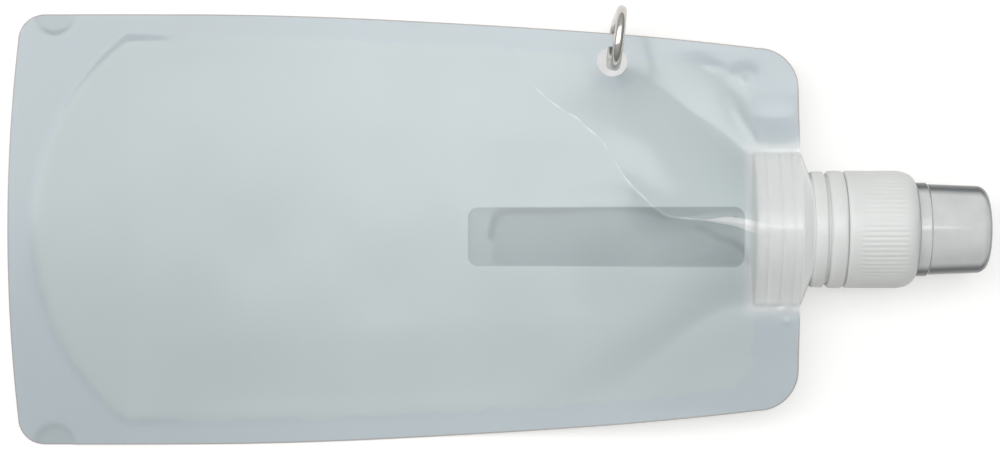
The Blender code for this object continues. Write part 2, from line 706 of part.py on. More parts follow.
def clip_corners():
    """Corners of the rod's centre line, before rounding: narrow end below, wide end above."""
    strip_half = (HOLE_FROM_EDGE - HOLE_RADIUS) / 2
    spine = strip_half + CLIP_SPINE_GAP + CLIP_ROD / 2
    top = CLIP_LENGTH - CLIP_ROD - CLIP_UNDER
    narrow = spine - CLIP_NARROW_WIDTH + CLIP_ROD
    wide = spine - CLIP_WIDE_WIDTH + CLIP_ROD
    return (Vector((narrow, -CLIP_UNDER)), Vector((spine, -CLIP_UNDER)),
            Vector((spine, top)), Vector((wide, top)))


def gate_frame():
    """The gate's frame in the clip's: its hinge pin, with Y along the gate and X into the loop."""
    low, _, _, high = clip_corners()
    along = (high - low).normalized()
    inward = Vector((along.y, -along.x))
    start = low + along * ((GATE_FROM_FILM - low.y) / along.y) - inward * PIN_OFFSET
    rows = ((inward.x, along.x, 0.0), (inward.y, along.y, 0.0), (0.0, 0.0, 1.0))
    return Matrix.Translation(start.to_3d()) @ Matrix(rows).to_4x4()


def rounded_path(corners, radii, steps):
    """A polyline with its inner corners rounded."""
    points = [corners[0]]
    for before, here, after, radius in zip(corners, corners[1:], corners[2:], radii):
        into = (here - before).normalized()
        out = (after - here).normalized()
        turn = into.angle_signed(out)
        reach = radius * math.tan(abs(turn) / 2)
        side = Vector((into.y, -into.x)) * math.copysign(1, turn)
        centre = here - into * reach + side * radius
        spoke = here - into * reach - centre
        for i in range(steps + 1):
            angle = -turn * i / steps
            points.append(centre + Matrix.Rotation(angle, 2) @ spoke)
    points.append(corners[-1])
    return points


def swept_rod(name, path, radius, finish, parent, count=SMALL_STEPS):
    """A round rod along a path in local XY, closed at both ends."""
    bm = bmesh.new()
    rings = []
    for i, point in enumerate(path):
        ahead = path[min(i + 1, len(path) - 1)] - path[max(i - 1, 0)]
        side = Vector((ahead.y, -ahead.x)).normalized()
        ring = []
        for k in range(count):
            angle = 2 * math.pi * (k + 0.5) / count
            spot = point + side * radius * math.cos(angle)
            ring.append(bm.verts.new((spot.x, spot.y, radius * math.sin(angle))))
        rings.append(ring)
    for first, second in zip(rings, rings[1:]):
        bridge(bm, first, second)
    bm.faces.new(rings[0])
    bm.faces.new(rings[-1])
    return add_object(name, bm, finish, parent)


# The gate, in its own frame. Its centre line lies PIN_OFFSET further in than its hinge pin.

def gate_prism(name, outline, half, gate, finish):
    """A flat piece in the clip's plane, from points along the gate and across from its centre line."""
    flat = [(across + PIN_OFFSET, along) for along, across in outline]
    return prism(name, flat, -half, half, finish, gate)


def gate_rod(name, start, end, radius, gate, finish, count=SMALL_STEPS):
    """A round bar on the gate's centre line."""
    path = [Vector((PIN_OFFSET, start)), Vector((PIN_OFFSET, end))]
    return swept_rod(name, path, radius, finish, gate, count)


def gate_pin(name, along, across, radius, half, gate, finish):
    """A round pin, or the tool for its hole, square to the clip's plane."""
    turns = [2 * math.pi * i / SMALL_STEPS for i in range(SMALL_STEPS)]
    ring = [(along + radius * math.cos(a), across + radius * math.sin(a)) for a in turns]
    return gate_prism(name, ring, half, gate, finish)


def nose_pin_along():
    return GATE_LENGTH - 2 * PIN_RADIUS - SEAT_GAP


def hinge_slot_end():
    heel = Vector((PIN_RADIUS + HINGE_GAP, CLIP_ROD / 2 + PIN_OFFSET)).length
    return heel + SEAT_GAP / 2


def plunger_start():
    return PIN_RADIUS + HINGE_GAP + SEAT_GAP


def make_clip_body(clip, gate, finish):
    """The bent rod, with a tongue for the hinge at one end and a hooked nose at the other."""
    frame = gate_frame()
    low, corner, top, high = clip_corners()
    hinge_end = (frame @ Vector((PIN_OFFSET, -GATE_REACH - HINGE_GAP, 0.0))).to_2d()
    nose_end = (frame @ Vector((PIN_OFFSET, GATE_LENGTH + SEAT_GAP, 0.0))).to_2d()
    path = rounded_path([hinge_end, low, corner, top, high, nose_end],
                        [NARROW_CORNER, NARROW_CORNER, WIDE_CORNER, WIDE_CORNER], 6)
    body = swept_rod("carabiner_body", path, CLIP_ROD / 2, finish, clip)
    depth = CLIP_ROD / 2 - SEAT_GAP / 2
    tongue = [(-GATE_REACH - 2 * HINGE_GAP, -depth), (PIN_RADIUS + HINGE_GAP, -depth),
              (PIN_RADIUS + HINGE_GAP, depth), (-GATE_REACH - 2 * HINGE_GAP, depth)]
    shape(body, gate_prism("hinge_tongue", tongue, TONGUE / 2, gate, finish), "UNION")
    hole = PIN_RADIUS + PIN_CLEARANCE
    shape(body, gate_pin("hinge_hole", 0.0, -PIN_OFFSET, hole, TONGUE, gate, finish), "DIFFERENCE")
    pin = nose_pin_along()
    notch = PIN_RADIUS + SEAT_GAP
    lip = pin - notch - TONGUE / 2
    nose = [(GATE_LENGTH + 2 * HINGE_GAP, -depth), (GATE_LENGTH + 2 * HINGE_GAP, depth),
            (pin + notch, depth), (pin + notch, -notch), (pin - notch, -notch), (pin - notch, depth),
            (lip, depth), (lip, -depth)]
    shape(body, gate_prism("nose_hook", nose, TONGUE / 2, gate, finish), "UNION")


def make_gate(gate, finish):
    """The gate: a straight rod, forked at both ends, with a bore for its spring."""
    slot = TONGUE / 2 + SEAT_GAP
    wide = CLIP_ROD
    rod = gate_rod("carabiner_gate", -GATE_REACH, GATE_LENGTH, CLIP_ROD / 2, gate, finish)
    low_slot = [(-wide, -wide), (hinge_slot_end(), -wide), (hinge_slot_end(), wide), (-wide, wide)]
    shape(rod, gate_prism("gate_low_slot", low_slot, slot, gate, finish), "DIFFERENCE")
    start = nose_pin_along() - PIN_RADIUS - 2 * SEAT_GAP - TONGUE
    high_slot = [(start, -wide), (GATE_LENGTH + wide, -wide), (GATE_LENGTH + wide, wide), (start, wide)]
    shape(rod, gate_prism("gate_high_slot", high_slot, slot, gate, finish), "DIFFERENCE")
    bore_end = hinge_slot_end() + GATE_BORE_LENGTH
    shape(rod, gate_rod("gate_bore", 0.0, bore_end, GATE_BORE_RADIUS, gate, finish), "DIFFERENCE")
    for name, along, across in (("low", 0.0, -PIN_OFFSET), ("high", nose_pin_along(), 0.0)):
        tool = gate_pin(f"gate_{name}_hole", along, across, PIN_RADIUS + PIN_CLEARANCE, wide, gate, finish)
        shape(rod, tool, "DIFFERENCE")


def make_gate_pins(gate, finish):
    """The pin that the gate turns on and the pin that the nose hooks."""
    half = CLIP_ROD / 2 - SEAT_GAP
    gate_pin("gate_hinge_pin", 0.0, -PIN_OFFSET, PIN_RADIUS, half, gate, finish)
    gate_pin("gate_nose_pin", nose_pin_along(), 0.0, PIN_RADIUS, half, gate, finish)


def make_plunger(gate, finish):
    """The plunger that the spring presses on the hinge tongue's heel."""
    start = plunger_start()
    gate_rod("gate_plunger", start, start + PLUNGER_LENGTH, PLUNGER_RADIUS, gate, finish, count=10)


def make_spring(gate, finish):
    """The gate's compression spring, in the bore behind the plunger."""
    low = plunger_start() + PLUNGER_LENGTH + SEAT_GAP
    high = hinge_slot_end() + GATE_BORE_LENGTH - SEAT_GAP
    radius = PLUNGER_RADIUS - SPRING_WIRE / 2
    curve = bpy.data.curves.new("gate_spring", "CURVE")
    curve.dimensions = "3D"
    curve.bevel_depth = SPRING_WIRE / 2
    curve.bevel_resolution = 0
    curve.use_fill_caps = True
    count = 8 * SPRING_TURNS
    spline = curve.splines.new("POLY")
    spline.points.add(count)
    for i in range(count + 1):
        angle = 2 * math.pi * i / 8
        height = low + SPRING_WIRE / 2 + (high - low - SPRING_WIRE) * i / count
        across = PIN_OFFSET + radius * math.cos(angle)
        spline.points[i].co = (across, height, radius * math.sin(angle), 1.0)
    made = bpy.data.objects.new("gate_spring", curve)
    curve.materials.append(finish)
    bpy.context.scene.collection.objects.link(made)
    made.parent = gate


def make_clip():
    """The carabiner, placed on the strip of film that it swings about."""
    across = Vector((math.sin(CLIP_YAW), math.cos(CLIP_YAW), 0.0))
    up = Vector((0.0, 0.0, 1.0))
    axis = across.cross(up)
    place = Matrix((across, up, axis)).transposed().to_4x4() @ Matrix.Rotation(-CLIP_LEAN, 4, "Z")
    place.translation = clip_pivot()
    clip = add_empty("clip_axis", place)
    gate = add_empty("gate_axis", gate_frame(), clip)
    finish = bright_metal()
    make_clip_body(clip, gate, finish)
    make_gate(gate, finish)
    make_gate_pins(gate, finish)
    make_plunger(gate, finish)
    make_spring(gate, finish)


def main():
    for old in list(bpy.data.objects):
        bpy.data.objects.remove(old, do_unlink=True)
    pouch = add_empty("pouch", Matrix.Identity(4))
    make_panels(pouch)
    make_gusset(pouch)
    turn = Matrix.Rotation(math.pi / 2, 4, "Y")
    spout = add_empty("spout_axis", Matrix.Translation((FLANGE_X, 0.0, AXIS_Z)) @ turn)
    cap = add_empty("cap_axis", Matrix.Translation((0.0, 0.0, CAP_Z)), spout)
    make_fitment(spout)
    make_band(spout)
    make_liner(spout)
    make_cap(cap)
    make_nozzle(cap)
    make_cover(cap)
    make_clip()


main()
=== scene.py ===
import json
from math import atan2, copysign, cos, hypot, pi, radians, sin, sqrt, tan

import bmesh
import bpy
import numpy as np
from mathutils import Matrix, Vector
from mathutils.geometry import delaunay_2d_cdt
from mathutils.kdtree import KDTree


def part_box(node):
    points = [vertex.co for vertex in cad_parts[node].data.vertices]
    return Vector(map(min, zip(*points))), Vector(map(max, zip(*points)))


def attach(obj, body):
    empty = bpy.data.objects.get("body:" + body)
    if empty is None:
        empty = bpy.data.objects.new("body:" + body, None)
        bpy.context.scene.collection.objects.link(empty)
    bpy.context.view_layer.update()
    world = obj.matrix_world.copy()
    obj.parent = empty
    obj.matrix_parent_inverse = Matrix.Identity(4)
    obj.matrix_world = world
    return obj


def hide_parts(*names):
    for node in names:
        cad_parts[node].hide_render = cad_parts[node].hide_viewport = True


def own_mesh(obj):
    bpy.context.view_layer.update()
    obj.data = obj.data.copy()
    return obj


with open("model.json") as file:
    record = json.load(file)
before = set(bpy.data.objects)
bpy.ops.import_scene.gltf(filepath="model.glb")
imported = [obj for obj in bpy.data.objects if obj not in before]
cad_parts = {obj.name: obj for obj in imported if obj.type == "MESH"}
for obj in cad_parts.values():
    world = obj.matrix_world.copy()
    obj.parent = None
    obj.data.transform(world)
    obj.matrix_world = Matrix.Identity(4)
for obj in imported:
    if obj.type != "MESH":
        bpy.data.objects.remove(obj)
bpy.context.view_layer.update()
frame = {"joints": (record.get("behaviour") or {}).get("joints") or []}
mm = 0.001


# Nodes, colours and meshes

def hexColour(code):
    values = [int(code[i:i + 2], 16) / 255 for i in (1, 3, 5)]
    linear = [v / 12.92 if v <= 0.04045 else ((v + 0.055) / 1.055) ** 2.4 for v in values]
    return (*linear, 1.0)


def setNode(tree, node, settings, links):
    # a socket is named by its name or its number, and a link's source by a node or a socket
    def socket(name):
        if isinstance(name, int):
            return node.inputs[name]
        return next((s for s in node.inputs if s.name == name and s.enabled), None)

    for name, value in settings.items():
        target = socket(name)
        if target is None:
            setattr(node, name, value)
        else:
            isColour = isinstance(value, str) and value.startswith("#")
            target.default_value = hexColour(value) if isColour else value
    for name, source in links.items():
        if isinstance(source, bpy.types.Node):
            source = next(s for s in source.outputs if s.enabled)
        tree.links.new(source, socket(name))


def addNode(tree, kind, settings=None, links=None):
    node = tree.nodes.new("ShaderNode" + kind)
    setNode(tree, node, settings or {}, links or {})
    return node


def startMaterial(name):
    made = bpy.data.materials.new(name)
    made.use_nodes = True
    return made, made.node_tree


def endMaterial(made, settings, links):
    setNode(made.node_tree, made.node_tree.nodes["Principled BSDF"], settings, links)
    return made


def placed(name, data, place=(0.0, 0.0, 0.0)):
    made = bpy.data.objects.new(name, data)
    made.location = place
    bpy.context.scene.collection.objects.link(made)
    return made


def meshOf(name, bm):
    mesh = bpy.data.meshes.new(name)
    bm.to_mesh(mesh)
    bm.free()
    return mesh


def addPiece(name, bm, finish, body, sharp=35, stands=None):
    # a bmesh becomes a smooth piece that rides on a body
    bmesh.ops.remove_doubles(bm, verts=bm.verts[:], dist=1e-7)
    bmesh.ops.recalc_face_normals(bm, faces=bm.faces[:])
    return dressMesh(name, meshOf(name, bm), finish, body, sharp, stands)


def dressMesh(name, mesh, finish, body, sharp=35, stands=None):
    # a finish is a slot name, which is not used, and its materials, and the piece stands for a node of the
    # solids
    mesh.shade_smooth()
    mesh.set_sharp_from_angle(angle=radians(sharp))
    slot, *materials = finish
    for made in materials:
        mesh.materials.append(made)
    piece = placed(name, mesh)
    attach(piece, body)
    if stands:
        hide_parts(stands)
    return piece


def smooth(value):
    t = np.clip(value, 0.0, 1.0)
    return t * t * (3 - 2 * t)


def spaced(start, end, step):
    count = max(1, round(abs(end - start) / step))
    return [start + (end - start) * i / count for i in range(count + 1)]


# Finishes

# Laminate film of PET and PE with a milky ink: see-through, softly glossy, with a fine orange peel
# that breaks up the reflections. The weld seams lose some haze, and the unprinted strip is clear.
filmLook = {
    "milk": "#cad5d6", "milkDark": "#c3cfd0", "seal": "#c3ced3", "window": "#b7c3c5", "boat": "#f1f3f3",
    "rim": "#a9a19d", "notch": "#b7c3c7", "backShade": "#a1adaf", "shadeLine": "#2c3a41", "fold": "#f6f8f8",
    "alphaMilk": 0.80, "alphaSeal": 0.80, "alphaWindow": 0.52, "alphaBoat": 0.38, "alphaBackShade": 0.88,
    "alphaInner": 0.12, "foldShare": 0.85, "glossy": 0.13, "greasy": 0.21, "specular": 0.7,
    # the darker tint towards the base end is painted shade, where the film mirrors less of the overhead lamp
    "baseEndShade": "#8f9a9f", "baseEndShadeShare": 0.19, "baseShadeMaskFrom": -0.035, "baseShadeMaskTo": -0.085,
    "raggedDepthMm": 0.9, "peelHeight": 0.000004, "waveHeight": 0.00002,
}
# Its patterns, as size in millimetres and detail
filmPatterns = {"cloud": (34, 3.0), "ragged": (5, 2.0), "peel": (1.1, 1.0), "wave": (17, 2.5)}
# Its marks, as the distances in millimetres where each starts and where it is full
filmMarks = {"fromSeal": (0.5, -0.3), "fromNotch": (0.9, -0.9), "fromWindow": (0.25, -0.25),
    "fromBoat": (4.4, -2.4), "fromEdge": (0.55, 0.05), "fromShadeLine": (1.7, 0.34), "fromFoldWhiteAndHighlight": (0.30, 0.0)}


def makeFilm(name, inner=False, backShade=False):
    # the inner faces show through faintly, and the back panel's clear strip and a line along an inner fold
    # are painted dark as shade
    look = filmLook
    made, tree = startMaterial(name)
    place = addNode(tree, "TexCoord").outputs["Object"]
    pattern = {kind: addNode(tree, "TexNoise", {"Scale": 1000 / size, "Detail": detail}, {"Vector": place})
        for kind, (size, detail) in filmPatterns.items()}
    wobble = addNode(tree, "MapRange", {"From Min": 0.3, "From Max": 0.7, "To Min": -look["raggedDepthMm"],
        "To Max": look["raggedDepthMm"]}, {"Value": pattern["ragged"]})

    def mark(kind, shape="SMOOTHSTEP", most=1.0, shift=None):
        at = addNode(tree, "Attribute", {"attribute_name": kind}).outputs["Fac"]
        if shift:
            at = addNode(tree, "Math", {"operation": "ADD"}, {0: at, 1: shift})
        start, full = filmMarks[kind]
        return addNode(tree, "MapRange", {"From Min": start, "From Max": full, "To Max": most,
            "interpolation_type": shape}, {"Value": at})

    # painted shade: the film's colour runs darker towards its base end
    along = addNode(tree, "SeparateXYZ", {}, {"Vector": place}).outputs["X"]
    baseShadeMask = addNode(tree, "MapRange", {"From Min": look["baseShadeMaskFrom"], "From Max": look["baseShadeMaskTo"],
        "To Max": look["baseEndShadeShare"]}, {"Value": along})
    # painted shade: the clear strips are tinted darker for the floor in the pouch's shade seen through them,
    # and the back panel's strip is darker still where both strips overlap
    strip = ("backShade", "alphaBackShade") if backShade else ("window", "alphaWindow")
    layers = [(mark("fromSeal", "LINEAR", shift=wobble), "seal", "alphaSeal"),
        # painted shade: the films are tinted darker over the gusset's notches, where fewer layers show the
        # shaded floor beneath
        (mark("fromNotch"), "notch", "alphaSeal"), (mark("fromEdge"), "rim", "alphaMilk"),
        # over the welded boat the film is clearer and whiter because the white boat shows through; the
        # lighter tint a few millimetres short of the boat is painted light over the shade of the film's gap
        (mark("fromWindow"), *strip), (mark("fromBoat"), "boat", "alphaBoat")]
    if backShade:
        # painted shade: a dark line along an inner fold of the back panel, seen in its strip
        layers.append((mark("fromShadeLine"), "shadeLine", "alphaBackShade"))
    # the fold line is the film's stress-whitening, and where it widens near the boat it is a painted
    # highlight
    layers += [(mark("fromFoldWhiteAndHighlight", "LINEAR", look["foldShare"]), "fold", None), (baseShadeMask, "baseEndShade", None)]
    colour = addNode(tree, "Mix", {"data_type": "RGBA", "A": look["milk"], "B": look["milkDark"]},
        {"Factor": pattern["cloud"]})
    alpha = addNode(tree, "Value")
    alpha.outputs[0].default_value = look["alphaMilk"]
    for mask, tint, clear in layers:
        colour = addNode(tree, "Mix", {"data_type": "RGBA", "B": look[tint]}, {"Factor": mask, "A": colour})
        if clear:
            alpha = addNode(tree, "Mix", {"data_type": "FLOAT", "B": look[clear]},
                {"Factor": mask, "A": alpha})
    if inner:
        alpha = addNode(tree, "Math", {"operation": "MULTIPLY", 1: look["alphaInner"]}, {0: alpha})
    bump = addNode(tree, "Bump", {"Distance": look["peelHeight"]}, {"Height": pattern["peel"]})
    bump = addNode(tree, "Bump", {"Distance": look["waveHeight"]},
        {"Height": pattern["wave"], "Normal": bump})
    rough = addNode(tree, "MapRange", {"To Min": look["glossy"], "To Max": look["greasy"]},
        {"Value": pattern["cloud"]})
    return endMaterial(made, {"Specular IOR Level": look["specular"]},
        {"Base Color": colour, "Alpha": alpha, "Normal": bump, "Roughness": rough})


def makeOpaque(name, look, settings):
    # two tints that run into each other in a pattern, with a fine grain of the same kind
    made, tree = startMaterial(name)
    place = drawn = addNode(tree, "TexCoord").outputs["Object"]
    if "stretch" in look:
        drawn = addNode(tree, "Mapping", {"Scale": look["stretch"]}, {"Vector": place})
    flow, grain = (addNode(tree, look["pattern"], {"Scale": 1000 / size, "Detail": detail}, {"Vector": at})
        for at, (size, detail) in ((place, look["flowMm"]), (drawn, look["grainMm"])))
    colour = addNode(tree, "Mix", {"data_type": "RGBA", "A": look["light"], "B": look["dark"]},
        {"Factor": flow})
    bump = addNode(tree, "Bump", {"Distance": look["grainHeight"]}, {"Height": grain})
    links = {"Base Color": colour, "Normal": bump}
    if "roughest" in look:
        links["Roughness"] = addNode(tree, "MapRange", {"To Min": look["smoothest"],
            "To Max": look["roughest"]}, {"Value": flow})
    return endMaterial(made, settings, links)


# In these looks, flowMm and grainMm give a pattern's size in millimetres and its detail.
# White polypropylene, injection moulded: satin, a little light going in, faint flow marks
whiteLook = {"light": "#e3e5e4", "dark": "#dddfdd", "smoothest": 0.29, "roughest": 0.41,
    "pattern": "TexNoise", "flowMm": (9, 4.0), "grainMm": (0.35, 2.0), "grainHeight": 0.000004}
whiteBody = {"Subsurface Weight": 0.35, "Subsurface Radius": (1.0, 0.95, 0.9), "Subsurface Scale": 0.0016,
    "IOR": 1.49}

# Steel wire, bent, polished and nickel plated: bright, slightly warm, with faint polishing lines
steelLook = {"light": "#d6d4cf", "dark": "#b9b6b0", "smoothest": 0.11, "roughest": 0.26,
    "pattern": "TexNoise", "flowMm": (6, 4.0), "grainMm": (0.5, 3.0), "grainHeight": 0.000003,
    "stretch": (1.0, 1.0, 0.12)}

# Foamed polyethylene sheet, die cut: matt, off-white, with closed cells
foamLook = {"light": "#e4e3de", "dark": "#d2d1ca", "pattern": "TexVoronoi", "flowMm": (0.25, 0.0),
    "grainMm": (0.25, 0.0), "grainHeight": 0.00004}

# Natural polypropylene, injection moulded: clear through its flat walls and grey where it is seen edge on,
# partly from the longer path through the wall and partly as a painted dark reflection of the surroundings
clearLook = {"face": "#eaecec", "swirl": "#cfd3d2", "edge": "#2c353d", "alphaFace": 0.84, "alphaEdge": 0.95,
    "roughness": 0.13, "edgeFrom": 0.34, "edgeTo": 0.60, "endShare": 0.55, "swirlMm": 6, "waveMm": 2.5,
    "waveHeight": 0.000006}


def makeClear(name):
    look = clearLook
    made, tree = startMaterial(name)
    where = addNode(tree, "TexCoord").outputs
    # painted reflection: part of the grey where the wall is seen edge on stands for dark surroundings seen in
    # it
    facing = addNode(tree, "LayerWeight", {"Blend": 0.5}).outputs["Facing"]
    edge = addNode(tree, "MapRange", {"From Min": look["edgeFrom"], "From Max": look["edgeTo"],
        "interpolation_type": "SMOOTHSTEP"}, {"Value": facing})
    normal = addNode(tree, "SeparateXYZ", {}, {"Vector": where["Normal"]}).outputs["X"]
    for side, least in ((-1, 0.0), (1, look["endShare"])):
        # less grey on the flat faces of the mouth and the end
        share = addNode(tree, "MapRange", {"From Min": 0.7 * side, "From Max": 0.3 * side, "To Min": least},
            {"Value": normal})
        edge = addNode(tree, "Math", {"operation": "MULTIPLY"}, {0: edge, 1: share})
    swirl, wave = (addNode(tree, "TexNoise", {"Scale": 1000 / size, "Detail": detail},
        {"Vector": where["Object"]}) for size, detail in ((look["swirlMm"], 3.0), (look["waveMm"], 1.0)))
    face = addNode(tree, "Mix", {"data_type": "RGBA", "A": look["face"], "B": look["swirl"]},
        {"Factor": swirl})
    colour = addNode(tree, "Mix", {"data_type": "RGBA", "B": look["edge"]}, {"Factor": edge, "A": face})
    alpha = addNode(tree, "MapRange", {"To Min": look["alphaFace"], "To Max": look["alphaEdge"]},
        {"Value": edge})
    bump = addNode(tree, "Bump", {"Distance": look["waveHeight"]}, {"Height": wave})
    return endMaterial(made, {"Roughness": look["roughness"], "IOR": 1.5},
        {"Base Color": colour, "Alpha": alpha, "Normal": bump})


film = makeFilm("milky_laminate_film")
filmInside = makeFilm("milky_laminate_film_inside", inner=True)
filmBehind = makeFilm("milky_laminate_film_behind", backShade=True)
frontFinish, backFinish = ("milky_film", film, filmInside), ("milky_film", filmBehind, filmInside)
gussetFinish = ("milky_film", filmInside, filmInside)
white = ("white_polypropylene", makeOpaque("white_moulded_polypropylene", whiteLook, whiteBody))
clear = ("natural_polypropylene", makeClear("natural_moulded_polypropylene"))
steel = ("nickel_plated_steel", makeOpaque("nickel_plated_steel_wire", steelLook, {"Metallic": 1.0}))
foam = ("liner_foam", makeOpaque("foamed_polyethylene_liner", foamLook, {"Roughness": 0.85}))
print("finishes made")


# The pouch's films

panelLow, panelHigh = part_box("front_panel")
capLow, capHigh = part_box("screw_cap")
baseX, topX = panelLow.x, panelHigh.x
axisZ = (capLow.z + capHigh.z) / 2

pouch = {"baseHalf": 0.0600, "topHalf": 0.0498, "straight": 0.0500, "taperPower": 1.85, "baseBow": 0.0030,
    "baseCorner": 0.0075, "shoulderCorner": 0.0110, "film": 0.00022, "gap": 0.0003, "sealedGap": 0.00005,
    "sideSeal": 0.0066, "topSeal": 0.0125, "sealCorner": 0.8, "sealStep": 0.0030, "softEdge": 0.0012,
    "weldDepth": 0.00008, "air": 0.0012, "airEdge": 0.0250, "gussetDepth": 0.0330, "gussetRun": 0.0220,
    "arcCentre": 0.0749, "arcRadius": 0.0677, "notchRadius": 0.0059, "notchFromBase": 0.0132, "rise": 0.0950,
    "tent": 0.0570, "tentCell": 0.0046, "tentSpread": 1.6, "tentShare": 0.6, "tentEdge": 0.0180,
    "blend": 0.0008, "waveFromSeal": 0.012, "waveFromFold": 0.02, "holeRadius": 0.00415,
    "holeFromTop": 0.0507, "holeFromEdge": 0.0077, "holePatch": 0.0078, "foldHalf": 0.057, "cell": 0.0012,
    "ribCell": 0.00042, "edgeStep": 0.0012}
spout = {
    "boatLength": 0.0126, "boatHalf": 0.0211, "boatThick": 0.0100, "boatTip": 0.0012, "boatCurve": 1.5,
    "grooves": (0.0034, 0.0073, 0.0106), "grooveHalf": 0.0006, "ribDepth": 0.00025, "clearance": 0.00035,
    "collar": 0.0023, "collarCurve": 1.2, "boatEdge": 0.0003, "tipRound": 0.98,
}
# How the films fall away beside the spout, near the spout and farther off
droop = {"depth": 0.0040, "nearBend": 0.25, "nearFrom": 0.0230, "nearRun": 0.0400, "farFrom": 0.0240,
    "farRun": 0.0250}
foldX = baseX + pouch["gussetDepth"]
boatX = topX - spout["boatLength"]
flangeX = topX + spout["collar"]

# The strip without ink on each panel, as x from, x to, y from, y to and corner
windows = {
    "front": (-0.0065, 0.0682, -0.0102, 0.0061, 0.0027),
    "back": (0.0001, 0.0712, -0.0099, 0.0059, 0.0027),
}

# The sharp fold over the front panel, from the boat out towards the side
foldLine = [(0.0725, 0.0001), (0.0662, 0.0020), (0.0574, 0.0026), (0.0487, 0.0034), (0.0453, 0.0052),
    (0.0418, 0.0084), (0.0366, 0.0140), (0.0335, 0.0193), (0.0298, 0.0248), (0.0258, 0.0284),
    (0.0236, 0.0307), (0.0203, 0.0326), (0.0162, 0.0356), (0.0135, 0.0381), (0.0100, 0.0415)]
foldShape = {"ridge": 0.0014, "reach": 0.0090, "power": 2.6, "riseRate": 5, "fade": 0.9, "fadeRate": 3.5,
    "fadeFrom": 0.22, "blunt": 0.00020, "bluntNear": 0.0040, "bluntRate": 4, "drop": 0.0002,
    "dropRun": 0.0045, "dropLow": 0.0150, "dropLowRun": 0.0200, "dropHigh": 0.0600, "dropHighRun": 0.0150,
    "widerMm": 1.5, "widerFrom": 0.0530, "widerRun": 0.0180, "gapMm": 0.16, "gapAlong": 0.0016,
    "gapAcross": 0.0011, "gapStart": 2.0}

# Soft dents and swellings of the front panel: x, y, half size along, across, turn in degrees, height
frontForms = [
    (0.0262, -0.0360, 0.0200, 0.0070, 38, 0.0008),
    (0.0590, 0.0080, 0.0120, 0.0110, 0, 0.0010),
    (0.0570, 0.0280, 0.0090, 0.0110, 0, -0.0010),
    (0.0690, 0.0294, 0.0060, 0.0012, -63, 0.00060),
    (0.0690, 0.0423, 0.0027, 0.0019, 0, 0.00085),
    (0.0695, 0.0421, 0.0010, 0.0009, 0, -0.00065),
    (0.0608, 0.0449, 0.0023, 0.0006, -14, 0.00042),
    (0.0772, 0.0216, 0.0055, 0.0040, 0, 0.00060),
    (0.0772, 0.0300, 0.0060, 0.0032, 0, -0.00055),
    (0.0800, -0.0215, 0.0018, 0.0008, 20, 0.00035),
    (0.0806, -0.0252, 0.0015, 0.0008, -15, 0.00035),
]


def halfWidth(x):
    taperX = baseX + pouch["straight"]
    t = np.clip((x - taperX) / (topX - pouch["shoulderCorner"] - taperX), 0.0, 1.0)
    return pouch["baseHalf"] - (pouch["baseHalf"] - pouch["topHalf"]) * t ** pouch["taperPower"]


def pouchOutline(step):
    # from the middle of the base round the +Y side to the middle of the top, then back on the -Y side
    corner, shoulder = pouch["baseCorner"], pouch["shoulderCorner"]
    flat = pouch["baseHalf"] - corner
    upper = [(baseX + pouch["baseBow"] * (y / flat) ** 2, y) for y in spaced(0.0, flat, step)][:-1]
    centre = baseX + pouch["baseBow"] + corner
    for angle in spaced(pi / 2, 0.0, step / corner):
        x = centre - corner * sin(angle)
        upper.append((x, float(halfWidth(x)) - corner * (1 - cos(angle))))
    last = topX - shoulder
    upper += [(x, float(halfWidth(x))) for x in spaced(centre, last, step)[1:-1]]
    for angle in spaced(0.0, pi / 2, step / shoulder):
        x = last + shoulder * sin(angle)
        upper.append((x, float(halfWidth(x)) - shoulder * (1 - cos(angle))))
    inner = pouch["topHalf"] - shoulder
    upper += [(topX, y) for y in spaced(inner, 0.0, step)[1:]]
    return [(x, -y) for x, y in upper] + upper[-2:0:-1]


def holeCentre():
    x = topX - pouch["holeFromTop"]
    return x, float(halfWidth(x)) - pouch["holeFromEdge"]


def circle(centre, radius, count):
    turns = [2 * pi * i / count for i in range(count)]
    return [(centre[0] + radius * cos(a), centre[1] + radius * sin(a)) for a in turns]


def toPiece(x, y, start, end):
    # distance to a straight piece, and how far along it the nearest place lies
    dx, dy = end[0] - start[0], end[1] - start[1]
    t = np.clip(((x - start[0]) * dx + (y - start[1]) * dy) / (dx * dx + dy * dy), 0.0, 1.0)
    return np.hypot(x - start[0] - t * dx, y - start[1] - t * dy), t


def distanceTo(x, y, chain, closed=False):
    # least distance from each point to a chain of straight pieces
    best = np.full(len(x), 1.0)
    for start, end in zip(chain, chain[1:] + chain[:1] if closed else chain[1:]):
        best = np.minimum(best, toPiece(x, y, start, end)[0])
    return best


def boxDistance(x, y, box):
    # signed distance to a rounded rectangle, negative inside
    lowX, highX, lowY, highY, corner = box
    dx = np.abs(x - (lowX + highX) / 2) - (highX - lowX) / 2 + corner
    dy = np.abs(y - (lowY + highY) / 2) - (highY - lowY) / 2 + corner
    outside = np.hypot(np.maximum(dx, 0.0), np.maximum(dy, 0.0))
    return outside + np.minimum(np.maximum(dx, dy), 0.0) - corner


def smoothLine(points, parts):
    # a curve through the points
    ends = [points[0]] + points + [points[-1]]
    made = []
    for p0, p1, p2, p3 in zip(ends, ends[1:], ends[2:], ends[3:]):
        for i in range(parts):
            t = i / parts
            made.append(tuple(0.5 * (2 * b + (c - a) * t + (2 * a - 5 * b + 4 * c - d) * t * t
                + (3 * b - a - 3 * c + d) * t ** 3) for a, b, c, d in zip(p0, p1, p2, p3)))
    return made + [points[-1]]


def offsetLine(line, side):
    made = []
    for i, (x, y) in enumerate(line):
        before, after = line[max(i - 1, 0)], line[min(i + 1, len(line) - 1)]
        dx, dy = after[0] - before[0], after[1] - before[1]
        length = hypot(dx, dy)
        made.append((x - side * dy / length, y + side * dx / length))
    return made


creaseLine = smoothLine(foldLine, 5)
creaseSidesMm = (-1.5, -0.8, -0.35, 0.35, 0.8, 1.5)


